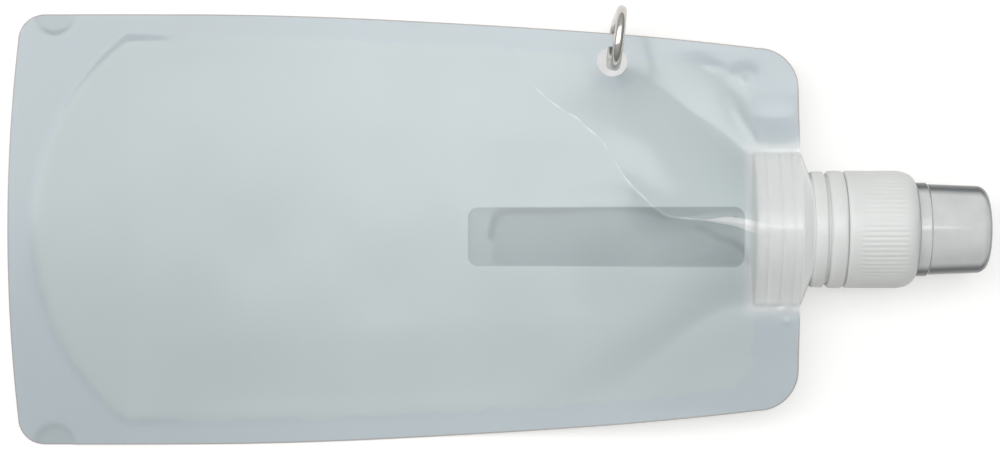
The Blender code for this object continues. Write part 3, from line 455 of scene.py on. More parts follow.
def filmPlan(outline, holes, lines, cell, ribCell):
    # triangles over an outline, closer over the spout's ribs, with the grid's points clear of the lines
    points, edges = [], []
    for chain, closed in [(outline, True)] + [(h, True) for h in holes] + [(l, False) for l in lines]:
        first = len(points)
        points += chain
        edges += [(first + i, first + i + 1) for i in range(len(chain) - 1)]
        if closed:
            edges.append((len(points) - 1, first))
    tree = KDTree(len(points))
    for i, (x, y) in enumerate(points):
        tree.insert((x, y, 0.0), i)
    tree.balance()
    widest = max(y for x, y in outline)
    left, right = min(x for x, y in outline), max(x for x, y in outline)
    columns = [(x, cell) for x in spaced(left, right, cell * sqrt(3) / 2)[1:-1]]
    if ribCell:
        columns = [(x, step) for x, step in columns if x < boatX - cell or x > topX]
        columns += [(x, 2 * ribCell) for x in spaced(boatX - cell / 2, topX, ribCell)[:-1]]
    grid = []
    for number, (x, step) in enumerate(columns):
        shift = step / 2 if number % 2 else 0.0
        for y in spaced(shift - widest, widest + shift, step):
            coarse = ribCell and x > boatX - cell and abs(y) > spout["boatHalf"] + pouch["tentEdge"]
            if coarse and (number % 3 or int(round((y + widest) / step)) % 2):
                continue
            if tree.find((x, y, 0.0))[2] > 0.55 * step:
                grid.append((x, y))
    grid = [p for p, d in zip(grid, insideMargin(grid, outline)) if d > 0.3 * cell]
    kept, _, faces, _, _, _ = delaunay_2d_cdt([Vector(p) for p in points + grid], edges, [], 0, 1e-7)
    place = np.array([(p.x, p.y) for p in kept])
    faces = np.array([f for f in faces if len(f) == 3])
    middle = place[faces].mean(axis=1)
    keep = insideMargin(middle, outline) > 0
    for hole in holes:
        keep &= insideMargin(middle, hole) < 0
    faces = faces[keep]
    used = np.unique(faces)
    renumber = np.zeros(len(place), dtype=int)
    renumber[used] = np.arange(len(used))
    return place[used, 0], place[used, 1], renumber[faces]


def insideMargin(points, outline):
    # distance to a closed outline, positive inside it
    place = np.array(points, dtype=float)
    x, y = place[:, 0], place[:, 1]
    odd = np.zeros(len(x), dtype=bool)
    for (ax, ay), (bx, by) in zip(outline, outline[1:] + outline[:1]):
        if ay != by:
            odd ^= ((ay > y) != (by > y)) & (x < ax + (y - ay) * (bx - ax) / (by - ay))
    return np.where(odd, 1, -1) * distanceTo(x, y, outline, closed=True)


def boatHalf(y):
    t = np.maximum(1 - (y / spout["boatHalf"]) ** 2, 0.0)
    return spout["boatTip"] + (spout["boatThick"] - spout["boatTip"]) * t ** spout["boatCurve"]


def ribGroove(along):
    # 1 in the grooves between the boat's ribs, at a distance along the boat
    return sum(smooth(1 - np.abs(along - groove) / spout["grooveHalf"]) for groove in spout["grooves"])


def tent(x, y):
    full = boatX - pouch["tentCell"] / 3
    opened = smooth((x - full + pouch["tent"]) / pouch["tent"])
    share = np.where(y > 0, pouch["tentShare"], 1.0)
    across = np.abs(y) / (1 + pouch["tentSpread"] * np.maximum(1 - opened, 1e-6) ** share)
    held = 2 * (boatHalf(across) + spout["clearance"])
    closing = 1 - smooth((across - spout["boatHalf"] - spout["clearance"]) / pouch["tentEdge"])
    return held * closing * opened


def sealDistance(x, y):
    # distance to the nearest weld seam, negative in it
    side = halfWidth(x) - np.abs(y) - pouch["sideSeal"]
    top = topX - pouch["topSeal"] - x
    inner = pouch["shoulderCorner"] * pouch["sealCorner"]
    corner = inner - np.hypot(np.maximum(inner - side, 0.0), np.maximum(inner - top, 0.0))
    edge = np.where((side < inner) & (top < inner), corner, np.minimum(side, top))
    arc = pouch["arcRadius"] - np.hypot(x - baseX - pouch["arcCentre"], y)
    edge = np.where(x < foldX, np.minimum(edge, arc), edge)
    holeX, holeY = holeCentre()
    return np.minimum(edge, np.hypot(x - holeX, y - holeY) - pouch["holePatch"])


def notchDistance(x, y):
    centreX = baseX + pouch["notchFromBase"]
    return np.hypot(x - centreX, np.abs(y) - pouch["baseHalf"]) - pouch["notchRadius"]


def boatDistance(x, y):
    return np.maximum(boatX - x, np.abs(y) - spout["boatHalf"])


def seamGap(x, y):
    # between neighbouring films, less in the weld seams
    sealed = smooth(0.5 - sealDistance(x, y) / pouch["sealStep"])
    return pouch["gap"] + (pouch["sealedGap"] - pouch["gap"]) * sealed


def filmGap(x, y):
    # between the panels, with room for the gusset's leaves, the air and the spout
    pastFold = x - foldX - pouch["gap"]
    base = seamGap(x, y)
    stack = 2 * pouch["film"] + 2 * base
    notch = smooth((notchDistance(x, y) + pouch["softEdge"]) / pouch["softEdge"])
    gusset = stack * (1 - smooth(pastFold / pouch["gussetRun"])) * notch
    fromSide = (halfWidth(x) - pouch["sideSeal"] - np.abs(y)) / pouch["airEdge"]
    fromTop = (topX - pouch["topSeal"] - x) / pouch["airEdge"]
    air = pouch["air"] * smooth(pastFold / pouch["airEdge"]) * smooth(fromSide) * smooth(fromTop)
    over = tent(x, y) - base - air
    return base + gusset + np.maximum(air + (over + np.hypot(over, pouch["blend"]) - pouch["blend"]) / 2, 0.0)


def weldDrop(x, y):
    # the films are pressed on to the boat, deeper between its ribs
    on = smooth(0.5 - boatDistance(x, y) / pouch["softEdge"])
    return on * (pouch["weldDepth"] + pouch["weldDepth"] * ribGroove(x - boatX))


def backHeight(x, y):
    d = droop
    lifted = smooth((x - boatX + pouch["rise"]) / (pouch["rise"] - pouch["tentCell"] / 3))
    wing = np.clip((np.abs(y) - spout["boatHalf"]) / (pouch["topHalf"] - spout["boatHalf"]), 0.0, 1.0)
    near = wing * wing * (1 + d["nearBend"]) / (wing + d["nearBend"])
    far = smooth((np.abs(y) - d["farFrom"]) / d["farRun"])
    fall = d["depth"] * (far + (near - far) * smooth((x - d["nearFrom"]) / d["nearRun"]))
    middle = axisZ - pouch["film"] - fall - filmGap(x, y) / 2
    return np.maximum(lifted * middle + weldDrop(x, y), 0.0)


def crease(x, y):
    # the fold's ridge, blunt near the boat, and the dip beside it on the hole's side
    best, along, side = np.full(len(x), 1.0), np.zeros(len(x)), np.zeros(len(x))
    for i, (start, end) in enumerate(zip(creaseLine, creaseLine[1:])):
        far, t = toPiece(x, y, start, end)
        turn = (x - start[0]) * (end[1] - start[1]) - (y - start[1]) * (end[0] - start[0])
        nearer = far < best
        best = np.where(nearer, far, best)
        along = np.where(nearer, (i + t) / (len(creaseLine) - 1), along)
        side = np.where(nearer, np.sign(turn), side)
    f = foldShape
    blunt = f["blunt"] + f["bluntNear"] * smooth(1 - f["bluntRate"] * along)
    far = np.hypot(best, blunt) - blunt
    fade = 1 - f["fade"] * smooth(f["fadeRate"] * (along - f["fadeFrom"]))
    ridge = f["ridge"] * smooth(f["riseRate"] * along) * fade
    drop = f["drop"] * smooth((f["dropHigh"] - x) / f["dropHighRun"])
    drop = drop * smooth((x - f["dropLow"]) / f["dropLowRun"])
    run = far / f["dropRun"]
    made = ridge * np.clip(1 - far / f["reach"], 0.0, 1.0) ** f["power"]
    return made - np.where(side > 0, drop * run * np.exp(1 - run), 0.0)


# Where a dark line is painted on the back panel as the shade of an inner fold, seen through the clear strip
shadeLinePoints = [[(-0.0001, -0.0021), (0.0010, 0.0029), (0.0040, 0.0048), (0.0112, 0.0053), (0.0167, 0.0048),
    (0.0225, 0.0056), (0.0322, 0.0062), (0.0421, 0.0056), (0.0476, 0.0034)],
    [(0.0576, 0.0006), (0.0617, -0.0016), (0.0667, -0.0035), (0.0700, -0.0060), (0.0705, -0.0090)],
    [(0.0203, 0.0092), (0.0267, 0.0114), (0.0350, 0.0114), (0.0400, 0.0092)]]
shadeLineCurves = [smoothLine(points, 4) for points in shadeLinePoints]


def foldDistance(x, y):
    # distance to the fold's line in millimetres, less where it is wide, with gaps where it isn't sharp; the
    # wide part near the boat carries a painted highlight
    f = foldShape
    far = distanceTo(x, y, creaseLine) / mm - f["widerMm"] * smooth((x - f["widerFrom"]) / f["widerRun"])
    return far + f["gapMm"] * (1 + np.sin(x / f["gapAlong"]) * np.sin(y / f["gapAcross"] + f["gapStart"]))


def softForms(x, y, forms):
    total = np.zeros(len(x))
    for formX, formY, along, across, turn, height in forms:
        c, s = cos(radians(turn)), sin(radians(turn))
        u = ((x - formX) * c + (y - formY) * s) / along
        v = ((y - formY) * c - (x - formX) * s) / across
        total += height * np.exp(-u * u - v * v)
    return total


# The empty film's long shallow waves: wavelength, direction in degrees, start and height
waves = [(0.058, 12, 0.3, 0.00006), (0.043, 71, 1.9, 0.00005), (0.031, 128, 4.1, 0.00003),
    (0.022, 38, 2.2, 0.00002)]


def wavy(x, y):
    total = np.zeros(len(x))
    for length, turn, start, height in waves:
        along = x * cos(radians(turn)) + y * sin(radians(turn))
        total += height * np.sin(2 * pi * along / length + start)
    free = smooth(sealDistance(x, y) / pouch["waveFromSeal"]) * smooth((x - foldX) / pouch["waveFromFold"])
    return total * free


def frontHeight(x, y):
    # underside of the front panel, never closer to the back panel than a seam lets it
    back = backHeight(x, y) + pouch["film"]
    made = back + filmGap(x, y) + crease(x, y) + softForms(x, y, frontForms) + wavy(x, y)
    return np.maximum(made - 2 * weldDrop(x, y), back + pouch["sealedGap"])


def thinSheet(name, place, normals, faces, finish, stands, attributes, sides):
    # a film of even thickness about a surface: outer faces, inner faces, cut edges
    half = pouch["film"] / 2
    count = len(place)
    points = np.concatenate([place + half * normals, place - half * normals])
    edges = np.concatenate([faces[:, [0, 1]], faces[:, [1, 2]], faces[:, [2, 0]]])
    _, first, times = np.unique(np.sort(edges, axis=1), axis=0, return_index=True, return_counts=True)
    rim = edges[first[times == 1]]
    quads = np.column_stack([rim[:, 1], rim[:, 0], rim[:, 0] + count, rim[:, 1] + count])
    mesh = bpy.data.meshes.new(name)
    mesh.from_pydata(points.tolist(), [], faces.tolist() + (faces[:, ::-1] + count).tolist() + quads.tolist())
    kind = np.concatenate([np.full(len(faces), sides[0]), np.full(len(faces), sides[1]),
        np.zeros(len(quads))])
    mesh.polygons.foreach_set("material_index", kind.astype(np.int32))
    for title, values in attributes.items():
        layer = mesh.attributes.new(title, "FLOAT", "POINT")
        layer.data.foreach_set("value", np.concatenate([values, values]).astype(np.float32))
    mesh.validate()
    return dressMesh(name, mesh, finish, "pouch", 60, stands)


def filmAttributes(x, y, outline, window):
    # distances in millimetres that the film's finish reads
    away = np.full(len(x), 50.0)
    return {
        "fromEdge": insideMargin(np.column_stack([x, y]), outline) / mm,
        "fromSeal": sealDistance(x, y) / mm,
        "fromNotch": notchDistance(x, y) / mm,
        "fromBoat": boatDistance(x, y) / mm,
        "fromFoldWhiteAndHighlight": foldDistance(x, y) if window == windows["front"] else away,
        "fromShadeLine": np.min([distanceTo(x, y, line) for line in shadeLineCurves], axis=0) / mm,
        "fromWindow": boxDistance(x, y, window) / mm if window else away,
    }


def makePanels():
    outline = pouchOutline(pouch["edgeStep"])
    hole = circle(holeCentre(), pouch["holeRadius"], 56)
    fold = [(foldX + pouch["gap"], y) for y in spaced(-pouch["foldHalf"], pouch["foldHalf"], pouch["cell"])]
    lines = [fold, creaseLine] + [offsetLine(creaseLine, side * mm) for side in creaseSidesMm]
    x, y, faces = filmPlan(outline, [hole], lines, pouch["cell"], pouch["ribCell"])
    up = np.zeros((len(x), 3))
    up[:, 2] = 1.0
    for side, height, finish, sides in (("front", frontHeight, frontFinish, (0, 1)),
            ("back", backHeight, backFinish, (1, 0))):
        z = height(x, y) + pouch["film"] / 2
        thinSheet(side + "_film", np.column_stack([x, y, z]), up, faces, finish, side + "_panel",
            filmAttributes(x, y, outline, windows[side]), sides)
    print("panels", len(faces), "triangles a side")


def makeGussetFilm():
    # one film folded in two between the panels, with a half-moon notch at each side
    whole = pouchOutline(pouch["edgeStep"])
    half = float(halfWidth(foldX))
    ring = [p for p in whole if p[0] < foldX - 0.4 * pouch["edgeStep"]]
    ring += [(foldX, y) for y in spaced(-half, half, pouch["cell"])]
    for side in (1, -1):
        notch = circle((baseX + pouch["notchFromBase"], side * pouch["baseHalf"]), pouch["notchRadius"], 40)
        ring = [p for p, d in zip(ring, insideMargin(ring, notch)) if d < 0]
        ring += [p for p, d in zip(notch, insideMargin(notch, whole)) if d > 0]
    middleX = foldX - 0.4 * pouch["gussetDepth"]
    ring = sorted(set(ring), key=lambda p: atan2(p[1], p[0] - middleX))
    x, y, faces = filmPlan(ring, [], [], 2 * pouch["cell"], 0)
    count = len(x)
    gap = seamGap(x, y)
    low = pouch["film"] * 1.5 + gap
    high = low + pouch["film"] + gap
    onFold = np.where(np.abs(x - foldX) < 1e-6)[0]
    onFold = onFold[np.argsort(y[onFold])]
    place = [np.column_stack([x, y, low]), np.column_stack([x, y, high])]
    normal = [np.tile((0.0, 0.0, -1.0), (count, 1)), np.tile((0.0, 0.0, 1.0), (count, 1))]
    rings, steps = [onFold], 5
    bend, centre = (high[onFold] - low[onFold]) / 2, (high[onFold] + low[onFold]) / 2
    for i in range(1, steps):
        angle = -pi / 2 + pi * i / steps
        rings.append(np.arange(len(onFold)) + sum(len(p) for p in place))
        place.append(np.column_stack([x[onFold] + bend * cos(angle), y[onFold], centre + bend * sin(angle)]))
        normal.append(np.tile((cos(angle), 0.0, sin(angle)), (len(onFold), 1)))
    rings.append(onFold + count)
    joins = [faces[:, ::-1], faces + count]
    for a, b in zip(rings, rings[1:]):
        joins.append(np.column_stack([a[:-1], a[1:], b[:-1]]))
        joins.append(np.column_stack([a[1:], b[1:], b[:-1]]))
    place, normal = np.concatenate(place), np.concatenate(normal)
    marks = filmAttributes(place[:, 0], place[:, 1], ring, None)
    thinSheet("gusset_film", place, normal, np.concatenate(joins), gussetFinish, "bottom_gusset", marks,
        (0, 1))
    print("gusset", len(faces), "triangles a leaf")


makePanels()
makeGussetFilm()


# Turned and lofted mouldings, about the spout's axis

def filleted(corners, closed=True, steps=4, share=0.48):
    # an outline from (across, along, fillet) corners, where an arc takes up to this share of a straight piece
    points = []
    for i, (r, z, radius) in enumerate(corners):
        here = Vector((r, z))
        if radius == 0 or (not closed and i in (0, len(corners) - 1)):
            points.append(here)
            continue
        before, after = Vector(corners[i - 1][:2]), Vector(corners[(i + 1) % len(corners)][:2])
        into, out = (here - before).normalized(), (after - here).normalized()
        turn = into.angle_signed(out)
        if abs(turn) < 0.01:
            points.append(here)
            continue
        room = share * min((here - before).length, (after - here).length)
        reach = min(radius * tan(abs(turn) / 2), room)
        bend = reach / tan(abs(turn) / 2)
        centre = here - into * reach + Vector((into.y, -into.x)) * copysign(bend, turn)
        spoke = here - into * reach - centre
        points += [centre + Matrix.Rotation(-turn * k / steps, 2) @ spoke for k in range(steps + 1)]
    return [(p.x, p.y) for p in points]


def evenAngles(count):
    return 2 * pi * (np.arange(count) + 0.5) / count


def turnedRings(profile, startX, count, wave=None):
    # rings of points round the axis, with wave(angles, radius, height) taken off the radius
    angles = evenAngles(count)
    rings = []
    for r, z in profile:
        radius = r - (wave(angles, r, z) if wave else 0.0) + np.zeros(count)
        rings.append(np.column_stack([np.full(count, startX + z), radius * np.sin(angles),
            axisZ - radius * np.cos(angles)]))
    return rings


def joinRings(rings, closed=False, capped=False, bm=None):
    # faces between rings of points, with the last ring joined to the first or a face over each end
    bm = bm or bmesh.new()
    made = [[bm.verts.new(p) for p in ring] for ring in rings]
    for first, second in zip(made, made[1:] + made[:1] if closed else made[1:]):
        for i in range(len(first)):
            j = (i + 1) % len(first)
            bm.faces.new((first[i], first[j], second[j], second[i]))
    if capped:
        bm.faces.new(made[0])
        bm.faces.new(made[-1])
    return bm


# Spout: the boat that is welded between the films, then collar, flange, groove and neck
neck = {
    "collarRadius": 0.0148, "flangeLength": 0.0038, "flangeRadius": 0.0158, "grooveLength": 0.0016,
    "grooveRadius": 0.0148, "neckRadius": 0.0124, "neckBore": 0.0106, "boatBore": 0.0080,
    "beadRadius": 0.0137, "beadLength": 0.0013, "rim": 0.0218, "capLow": 0.0100, "count": 144,
    "threadPitch": 0.0042, "threadLow": 0.0134, "threadHigh": 0.0206, "threadSteps": 96, "threadEndRate": 14,
}


def makeSpout():
    n, count, length = neck, neck["count"], spout["boatLength"]
    angles = evenAngles(count)
    rings = []

    def boatRing(z, inset, groove):
        y = spout["boatHalf"] * np.sin(angles)
        tip = np.clip((np.abs(y) - spout["boatHalf"] + spout["boatTip"]) / spout["boatTip"], 0.0, 1.0)
        thick = (boatHalf(y) - groove) * np.sqrt(1 - spout["tipRound"] * tip ** 2)
        width = (spout["boatHalf"] - inset) / spout["boatHalf"]
        side = axisZ - np.sign(np.cos(angles)) * thick
        rings.append(np.column_stack([np.full(count, flangeX + z), y * width, side]))

    start, edge = -spout["collar"] - length, spout["boatEdge"]
    boatRing(start, 0.0004, 0.0004)
    for z in spaced(edge, length - edge, length / 60):
        groove = float(ribGroove(z)) * spout["ribDepth"]
        boatRing(start + z, groove, groove)
    boat, collar = rings[-1], turnedRings([(n["collarRadius"], 0.0)], 0.0, count)[0]
    for share in spaced(0.0, 1.0, 0.1)[1:]:
        ring = boat * (1 - share ** spout["collarCurve"]) + collar * share ** spout["collarCurve"]
        ring[:, 0] = flangeX - spout["collar"] * (1 - share)
        rings.append(ring)
    groove, bead = n["flangeLength"] + n["grooveLength"], n["capLow"] + 0.0003
    profile = filleted([(n["collarRadius"], 0.0, 0.0), (n["collarRadius"], 0.0002, 0.0003),
        (n["flangeRadius"], 0.0004, 0.0016), (n["flangeRadius"], n["flangeLength"], 0.0016),
        (n["grooveRadius"], n["flangeLength"], 0.0005), (n["grooveRadius"], groove - 0.0003, 0.0003),
        (n["neckRadius"], groove - 0.0003, 0.0002), (n["neckRadius"], bead, 0.0002),
        (n["beadRadius"], bead + 0.5 * n["beadLength"], 0.0002),
        (n["beadRadius"], bead + n["beadLength"], 0.0002),
        (n["neckRadius"], bead + 1.5 * n["beadLength"], 0.0002), (n["neckRadius"], n["rim"], 0.0004),
        (n["neckBore"], n["rim"], 0.0004), (n["neckBore"], -0.0005, 0.0), (n["boatBore"], -0.0022, 0.0),
        (n["boatBore"], start, 0.0)], closed=False)
    rings += turnedRings(profile, flangeX, count)
    addPiece("spout_moulding", joinRings(rings, closed=True), white, "pouch", 40, "spout_fitment")


def makeThread():
    # a round-topped ridge winding up the neck, running out at both ends
    n = neck
    turns = (n["threadHigh"] - n["threadLow"]) / n["threadPitch"]
    steps = int(turns * n["threadSteps"])
    shape = [(-0.0002, -0.00085), (0.0005, -0.00062), (0.0010, -0.00035), (0.0012, 0.0), (0.0010, 0.00035),
        (0.0005, 0.00062), (-0.0002, 0.00085)]
    rings = []
    for i in range(steps + 1):
        angle = 2 * pi * turns * i / steps
        end = min(1.0, n["threadEndRate"] * min(i, steps - i) / steps)
        ring = []
        for out, along in shape:
            r = n["neckRadius"] + out * (0.25 + 0.75 * end if out > 0 else 1.0)
            z = n["threadLow"] + n["threadPitch"] * i / n["threadSteps"] + along * (0.4 + 0.6 * end)
            ring.append((flangeX + z, r * sin(angle), axisZ - r * cos(angle)))
        rings.append(ring)
    addPiece("neck_thread", joinRings(rings, capped=True), white, "pouch")


# Tamper band: stays on the neck, with the stubs of the bridges that tied it to the cap
band = {"low": 0.0046, "length": 0.00466, "radius": 0.0160, "wall": 0.0027, "bridges": 16, "stub": 0.00026,
    "stubIn": 0.0009}


def makeBand():
    low, high, inner = band["low"], band["low"] + band["length"], band["radius"] - band["wall"]
    corners = [(inner, low, 0.0003), (band["radius"], low, 0.0011), (band["radius"], high, 0.0010),
        (inner, high, 0.0003)]
    bm = joinRings(turnedRings(filleted(corners), flangeX, 144), closed=True)
    r = band["radius"] - band["stubIn"]
    for i in range(band["bridges"]):
        turn = 2 * pi * (i + 0.5) / band["bridges"]
        made = bmesh.ops.create_uvsphere(bm, u_segments=10, v_segments=6, radius=band["stub"])
        spot = (flangeX + high, r * sin(turn), axisZ - r * cos(turn))
        bmesh.ops.translate(bm, verts=made["verts"], vec=spot)
    addPiece("tamper_ring", bm, white, "pouch", 40, "tamper_band")


# Screw cap: plain rim, 72 grip ribs that die out on the round shoulder, snap ring and nozzle tower
cap = {"radius": 0.0160, "wall": 0.0017, "length": 0.0187, "shoulder": 0.0053, "topRadius": 0.01265,
    "deck": 0.0016, "deckDrop": 0.0004, "ceiling": 0.0090, "ribs": 72, "ribDepth": 0.00012,
    "ribStart": 0.0024, "rimDrop": 0.0007, "ribLength": 0.0136, "snapRadius": 0.0112, "snapHeight": 0.0027,
    "snapWall": 0.0012, "tower": 0.0056, "towerBore": 0.0045, "towerHeight": 0.0126, "stopBead": 0.0004,
    "stopAt": 0.0246, "post": 0.0024, "postStem": 0.0017, "postHead": 0.0020, "postTop": 0.0142,
    "pointsPerRib": 8, "rimRound": 0.0010, "ribRun": 0.0009, "ribPower": 1.6, "spokes": 3,
    "spokeSize": (0.0034, 0.0012, 0.0042), "spokeUp": 0.0020, "spokeOut": 0.0030}
capX = flangeX + neck["capLow"]


def ribWave(angles, r, z):
    # round-topped ribs with narrower valleys, only on the outside
    if r < cap["topRadius"] + 0.0002 or z > cap["length"] - 0.0003:
        return 0.0
    run, end = cap["ribRun"], cap["ribStart"] + cap["ribLength"]
    here = smooth((z - cap["ribStart"]) / run) * smooth((end - z) / (2 * run))
    valley = (0.5 - 0.5 * np.cos(cap["ribs"] * angles)) ** cap["ribPower"]
    return cap["ribDepth"] * here * valley


def makeCap():
    c = cap
    bore, deckZ = c["radius"] - c["wall"], c["length"] - c["deckDrop"]
    shoulderZ, inner = c["length"] - c["shoulder"], c["snapRadius"] - c["snapWall"]
    rim = -c["rimDrop"]
    bend, crown = c["rimRound"], c["radius"] - c["topRadius"]
    outside = [(bore, rim + 0.0002), (bore + 0.0002, rim), (c["radius"] - bend, rim)]
    for angle in spaced(0.0, pi / 2, pi / 16)[1:]:
        outside.append((c["radius"] - bend + bend * sin(angle), rim + bend * (1 - cos(angle))))
    outside += [(c["radius"], z) for z in spaced(0.0012, shoulderZ, 0.0005)]
    for angle in spaced(0.0, pi / 2, pi / 38)[1:-1]:
        outside.append((c["topRadius"] + crown * cos(angle), shoulderZ + c["shoulder"] * sin(angle)))
    top = filleted([(c["topRadius"], c["length"], 0.0002), (c["snapRadius"], c["length"], 0.0003),
        (c["snapRadius"], c["length"] + c["snapHeight"], 0.0004),
        (inner, c["length"] + c["snapHeight"], 0.0003), (inner, deckZ, 0.0003), (c["tower"], deckZ, 0.0003),
        (c["tower"], c["stopAt"] - 0.0001, 0.0001), (c["tower"] + c["stopBead"], c["stopAt"], 0.0001),
        (c["tower"] + c["stopBead"], c["stopAt"] + 0.0005, 0.0001),
        (c["tower"], c["stopAt"] + 0.0010, 0.0001), (c["tower"], deckZ + c["towerHeight"], 0.0002),
        (c["towerBore"], deckZ + c["towerHeight"], 0.0002), (c["towerBore"], deckZ - c["deck"], 0.0003),
        (c["ceiling"], deckZ - c["deck"], 0.0008), (neck["neckBore"], shoulderZ, 0.0006),
        (bore, shoulderZ, 0.0004)], closed=False)
    count = c["ribs"] * c["pointsPerRib"]
    bm = joinRings(turnedRings(outside + top, capX, count, ribWave), closed=True)
    stemTop = deckZ + c["postTop"] - c["postHead"]
    post = filleted([(0.0, deckZ - c["deck"], 0.0), (c["postStem"], deckZ - c["deck"], 0.0003),
        (c["postStem"], stemTop - 0.0007, 0.0003), (c["post"], stemTop, 0.0003),
        (c["post"], deckZ + c["postTop"], 0.0005), (0.0, deckZ + c["postTop"], 0.0)], closed=False)
    joinRings(turnedRings(post, capX, 48), bm=bm)
    for i in range(c["spokes"]):
        turn = Matrix.Rotation(2 * pi * (i + 0.25) / c["spokes"], 4, "X")
        made = bmesh.ops.create_cube(bm, size=1.0)["verts"]
        bmesh.ops.scale(bm, verts=made, vec=c["spokeSize"])
        bmesh.ops.translate(bm, verts=made, vec=(capX + deckZ - c["deck"] + c["spokeUp"], 0.0, c["spokeOut"]))
        bmesh.ops.transform(bm, verts=made, matrix=Matrix.Translation((0, 0, axisZ)) @ turn)
    addPiece("cap_shell", bm, white, "cap", 42, "screw_cap")


# Push-pull nozzle
nozzle = {"length": 0.0142, "flangeRadius": 0.0088, "radius": 0.0081, "waist": 0.0005, "flange": 0.0018,
    "lip": 0.0012, "seat": 0.0003}


def makeNozzle():
    n, deckZ = nozzle, cap["length"] - cap["deckDrop"]
    low, lip = deckZ + n["seat"], cap["tower"] + n["seat"]
    high, bore, mouth = low + n["length"], lip + cap["stopBead"], cap["post"] + n["seat"]
    ceiling = deckZ + cap["towerHeight"] + n["seat"]
    corners = [(lip, low, 0.0002), (n["flangeRadius"], low, 0.0004),
        (n["flangeRadius"], low + n["flange"], 0.0006), (n["radius"], low + n["flange"] + 0.0006, 0.0008),
        (n["radius"] - n["waist"], low + 0.45 * n["length"], 0.004),
        (n["radius"] - n["waist"], high - 0.0052, 0.003), (n["radius"], high - 0.0036, 0.0014),
        (n["radius"] - 0.0002, high, 0.0024), (mouth + 0.0003, high, 0.0003), (mouth, high - 0.0004, 0.0002),
        (mouth, ceiling, 0.0003), (bore, ceiling, 0.0004), (bore, low + n["lip"], 0.0001),
        (lip, low + n["lip"], 0.0001)]
    bm = joinRings(turnedRings(filleted(corners), capX, 96), closed=True)
    addPiece("nozzle_moulding", bm, white, "nozzle", 45, "pull_nozzle")


# Dust cover: a clear cup with a bead round its mouth
cover = {"length": 0.0196, "wall": 0.0009, "beadLength": 0.0034, "bead": 0.0004, "taper": 0.0006,
    "round": 0.0030, "seat": 0.0003, "mouthSeat": 0.00005}


def makeCover():
    c = cover
    low = cap["length"] + c["mouthSeat"]
    end, outer = cap["length"] + c["seat"] + c["length"], cap["snapRadius"] + c["seat"] + c["wall"]
    tip = outer - c["taper"]
    corners = [(outer - c["wall"], low, 0.0002), (outer + c["bead"], low, 0.0003),
        (outer + c["bead"], low + c["beadLength"] - c["bead"], 0.0003),
        (outer, low + c["beadLength"], 0.0004), (tip, end, c["round"]), (0.0014, end, 0.0001),
        (0.0012, end - 0.0002, 0.0001), (0.0, end - 0.0002, 0.0)]
    inner = [(0.0, end - c["wall"], 0.0), (tip - c["wall"], end - c["wall"], c["round"] - c["wall"]),
        (outer - c["wall"], low, 0.0)]
    bm = bmesh.new()
    for side in (corners, inner):
        joinRings(turnedRings(filleted(side, closed=False, steps=8), capX, 144), bm=bm)
    addPiece("cover_cup", bm, clear, "cover", 40, "dust_cover")


# Sealing ring inside the cap
liner = {"seat": 0.0003, "width": 0.0028, "thick": 0.0010, "round": 0.0002}


def makeLiner():
    low, outer, r = neck["rim"] + liner["seat"], cap["radius"] - cap["wall"] - liner["seat"], liner["round"]
    inner, high = outer - liner["width"], low + liner["thick"]
    corners = [(inner, low, r), (outer, low, r), (outer, high, r), (inner, high, r)]
    bm = joinRings(turnedRings(filleted(corners), flangeX, 96), closed=True)
    addPiece("liner_ring", bm, foam, "cap_rise", 40, "cap_liner")


# Clip: a carabiner bent from round wire, with a forked gate. Its plane's first axis points away from the
# pouch and its second one up.
clip = {
    "rod": 0.0014, "length": 0.0400, "wide": 0.0184, "narrow": 0.0140, "lean": 2.6, "strip": 0.001775,
    "spineGap": 0.0016, "under": 0.0043, "narrowCorner": 0.0052, "wideCorner": 0.0062, "gateLength": 0.0176,
    "reach": 0.0013, "tongue": 0.0010, "pin": 0.00045, "pinClearance": 0.00008, "offset": 0.0003,
    "hingeGap": 0.0007, "bore": 0.00075, "boreLength": 0.0085, "seat": 0.0003, "round": 0.00035, "sides": 28,
    "plunger": 0.0006, "plungerLength": 0.0030, "springWire": 0.00022, "springTurns": 7, "turnSteps": 24,
}
joints = {joint["name"]: joint for joint in frame["joints"]}


def sweptTube(stations, sides):
    # a round section carried along stations of (point, radius), closed at both ends
    rings, normal = [], None
    for i, (point, radius) in enumerate(stations):
        ahead = (stations[min(i + 1, len(stations) - 1)][0] - stations[max(i - 1, 0)][0]).normalized()
        normal = (normal or ahead.orthogonal()) - ahead * ahead.dot(normal or ahead.orthogonal())
        normal.normalize()
        other = ahead.cross(normal)
        turns = [2 * pi * (k + 0.5) / sides for k in range(sides)]
        rings.append([point + radius * (normal * cos(a) + other * sin(a)) for a in turns])
    return joinRings(rings, capped=True)


def rodMesh(name, path, radius, chamfer, place):
    # a rod along a path in a plane, with its two ends rounded
    path = [Vector(p) for p in path]
    first, last = (path[1] - path[0]).normalized(), (path[-2] - path[-1]).normalized()
    ends = ((0.0, 1.0), (0.3, 0.3), (1.0, 0.0))
    flat = [(path[0] + first * chamfer * far, radius - chamfer * less) for far, less in ends]
    flat += [(p, radius) for p in path[1:-1]]
    flat += [(path[-1] + last * chamfer * far, radius - chamfer * less) for far, less in reversed(ends)]
    return toolMesh(name, sweptTube([(place @ p.to_3d(), r) for p, r in flat], clip["sides"]))


def prismMesh(name, outline, half, place):
    bm = bmesh.new()
    face = bm.faces.new([bm.verts.new(place @ Vector((x, y, -half))) for x, y in outline])
    grown = bmesh.ops.extrude_face_region(bm, geom=[face])["geom"]
    moved = [v for v in grown if isinstance(v, bmesh.types.BMVert)]
    bmesh.ops.translate(bm, verts=moved, vec=place.to_3x3() @ Vector((0.0, 0.0, 2 * half)))
    return toolMesh(name, bm)


def toolMesh(name, bm):
    bmesh.ops.recalc_face_normals(bm, faces=bm.faces[:])
    return placed(name, meshOf(name, bm))


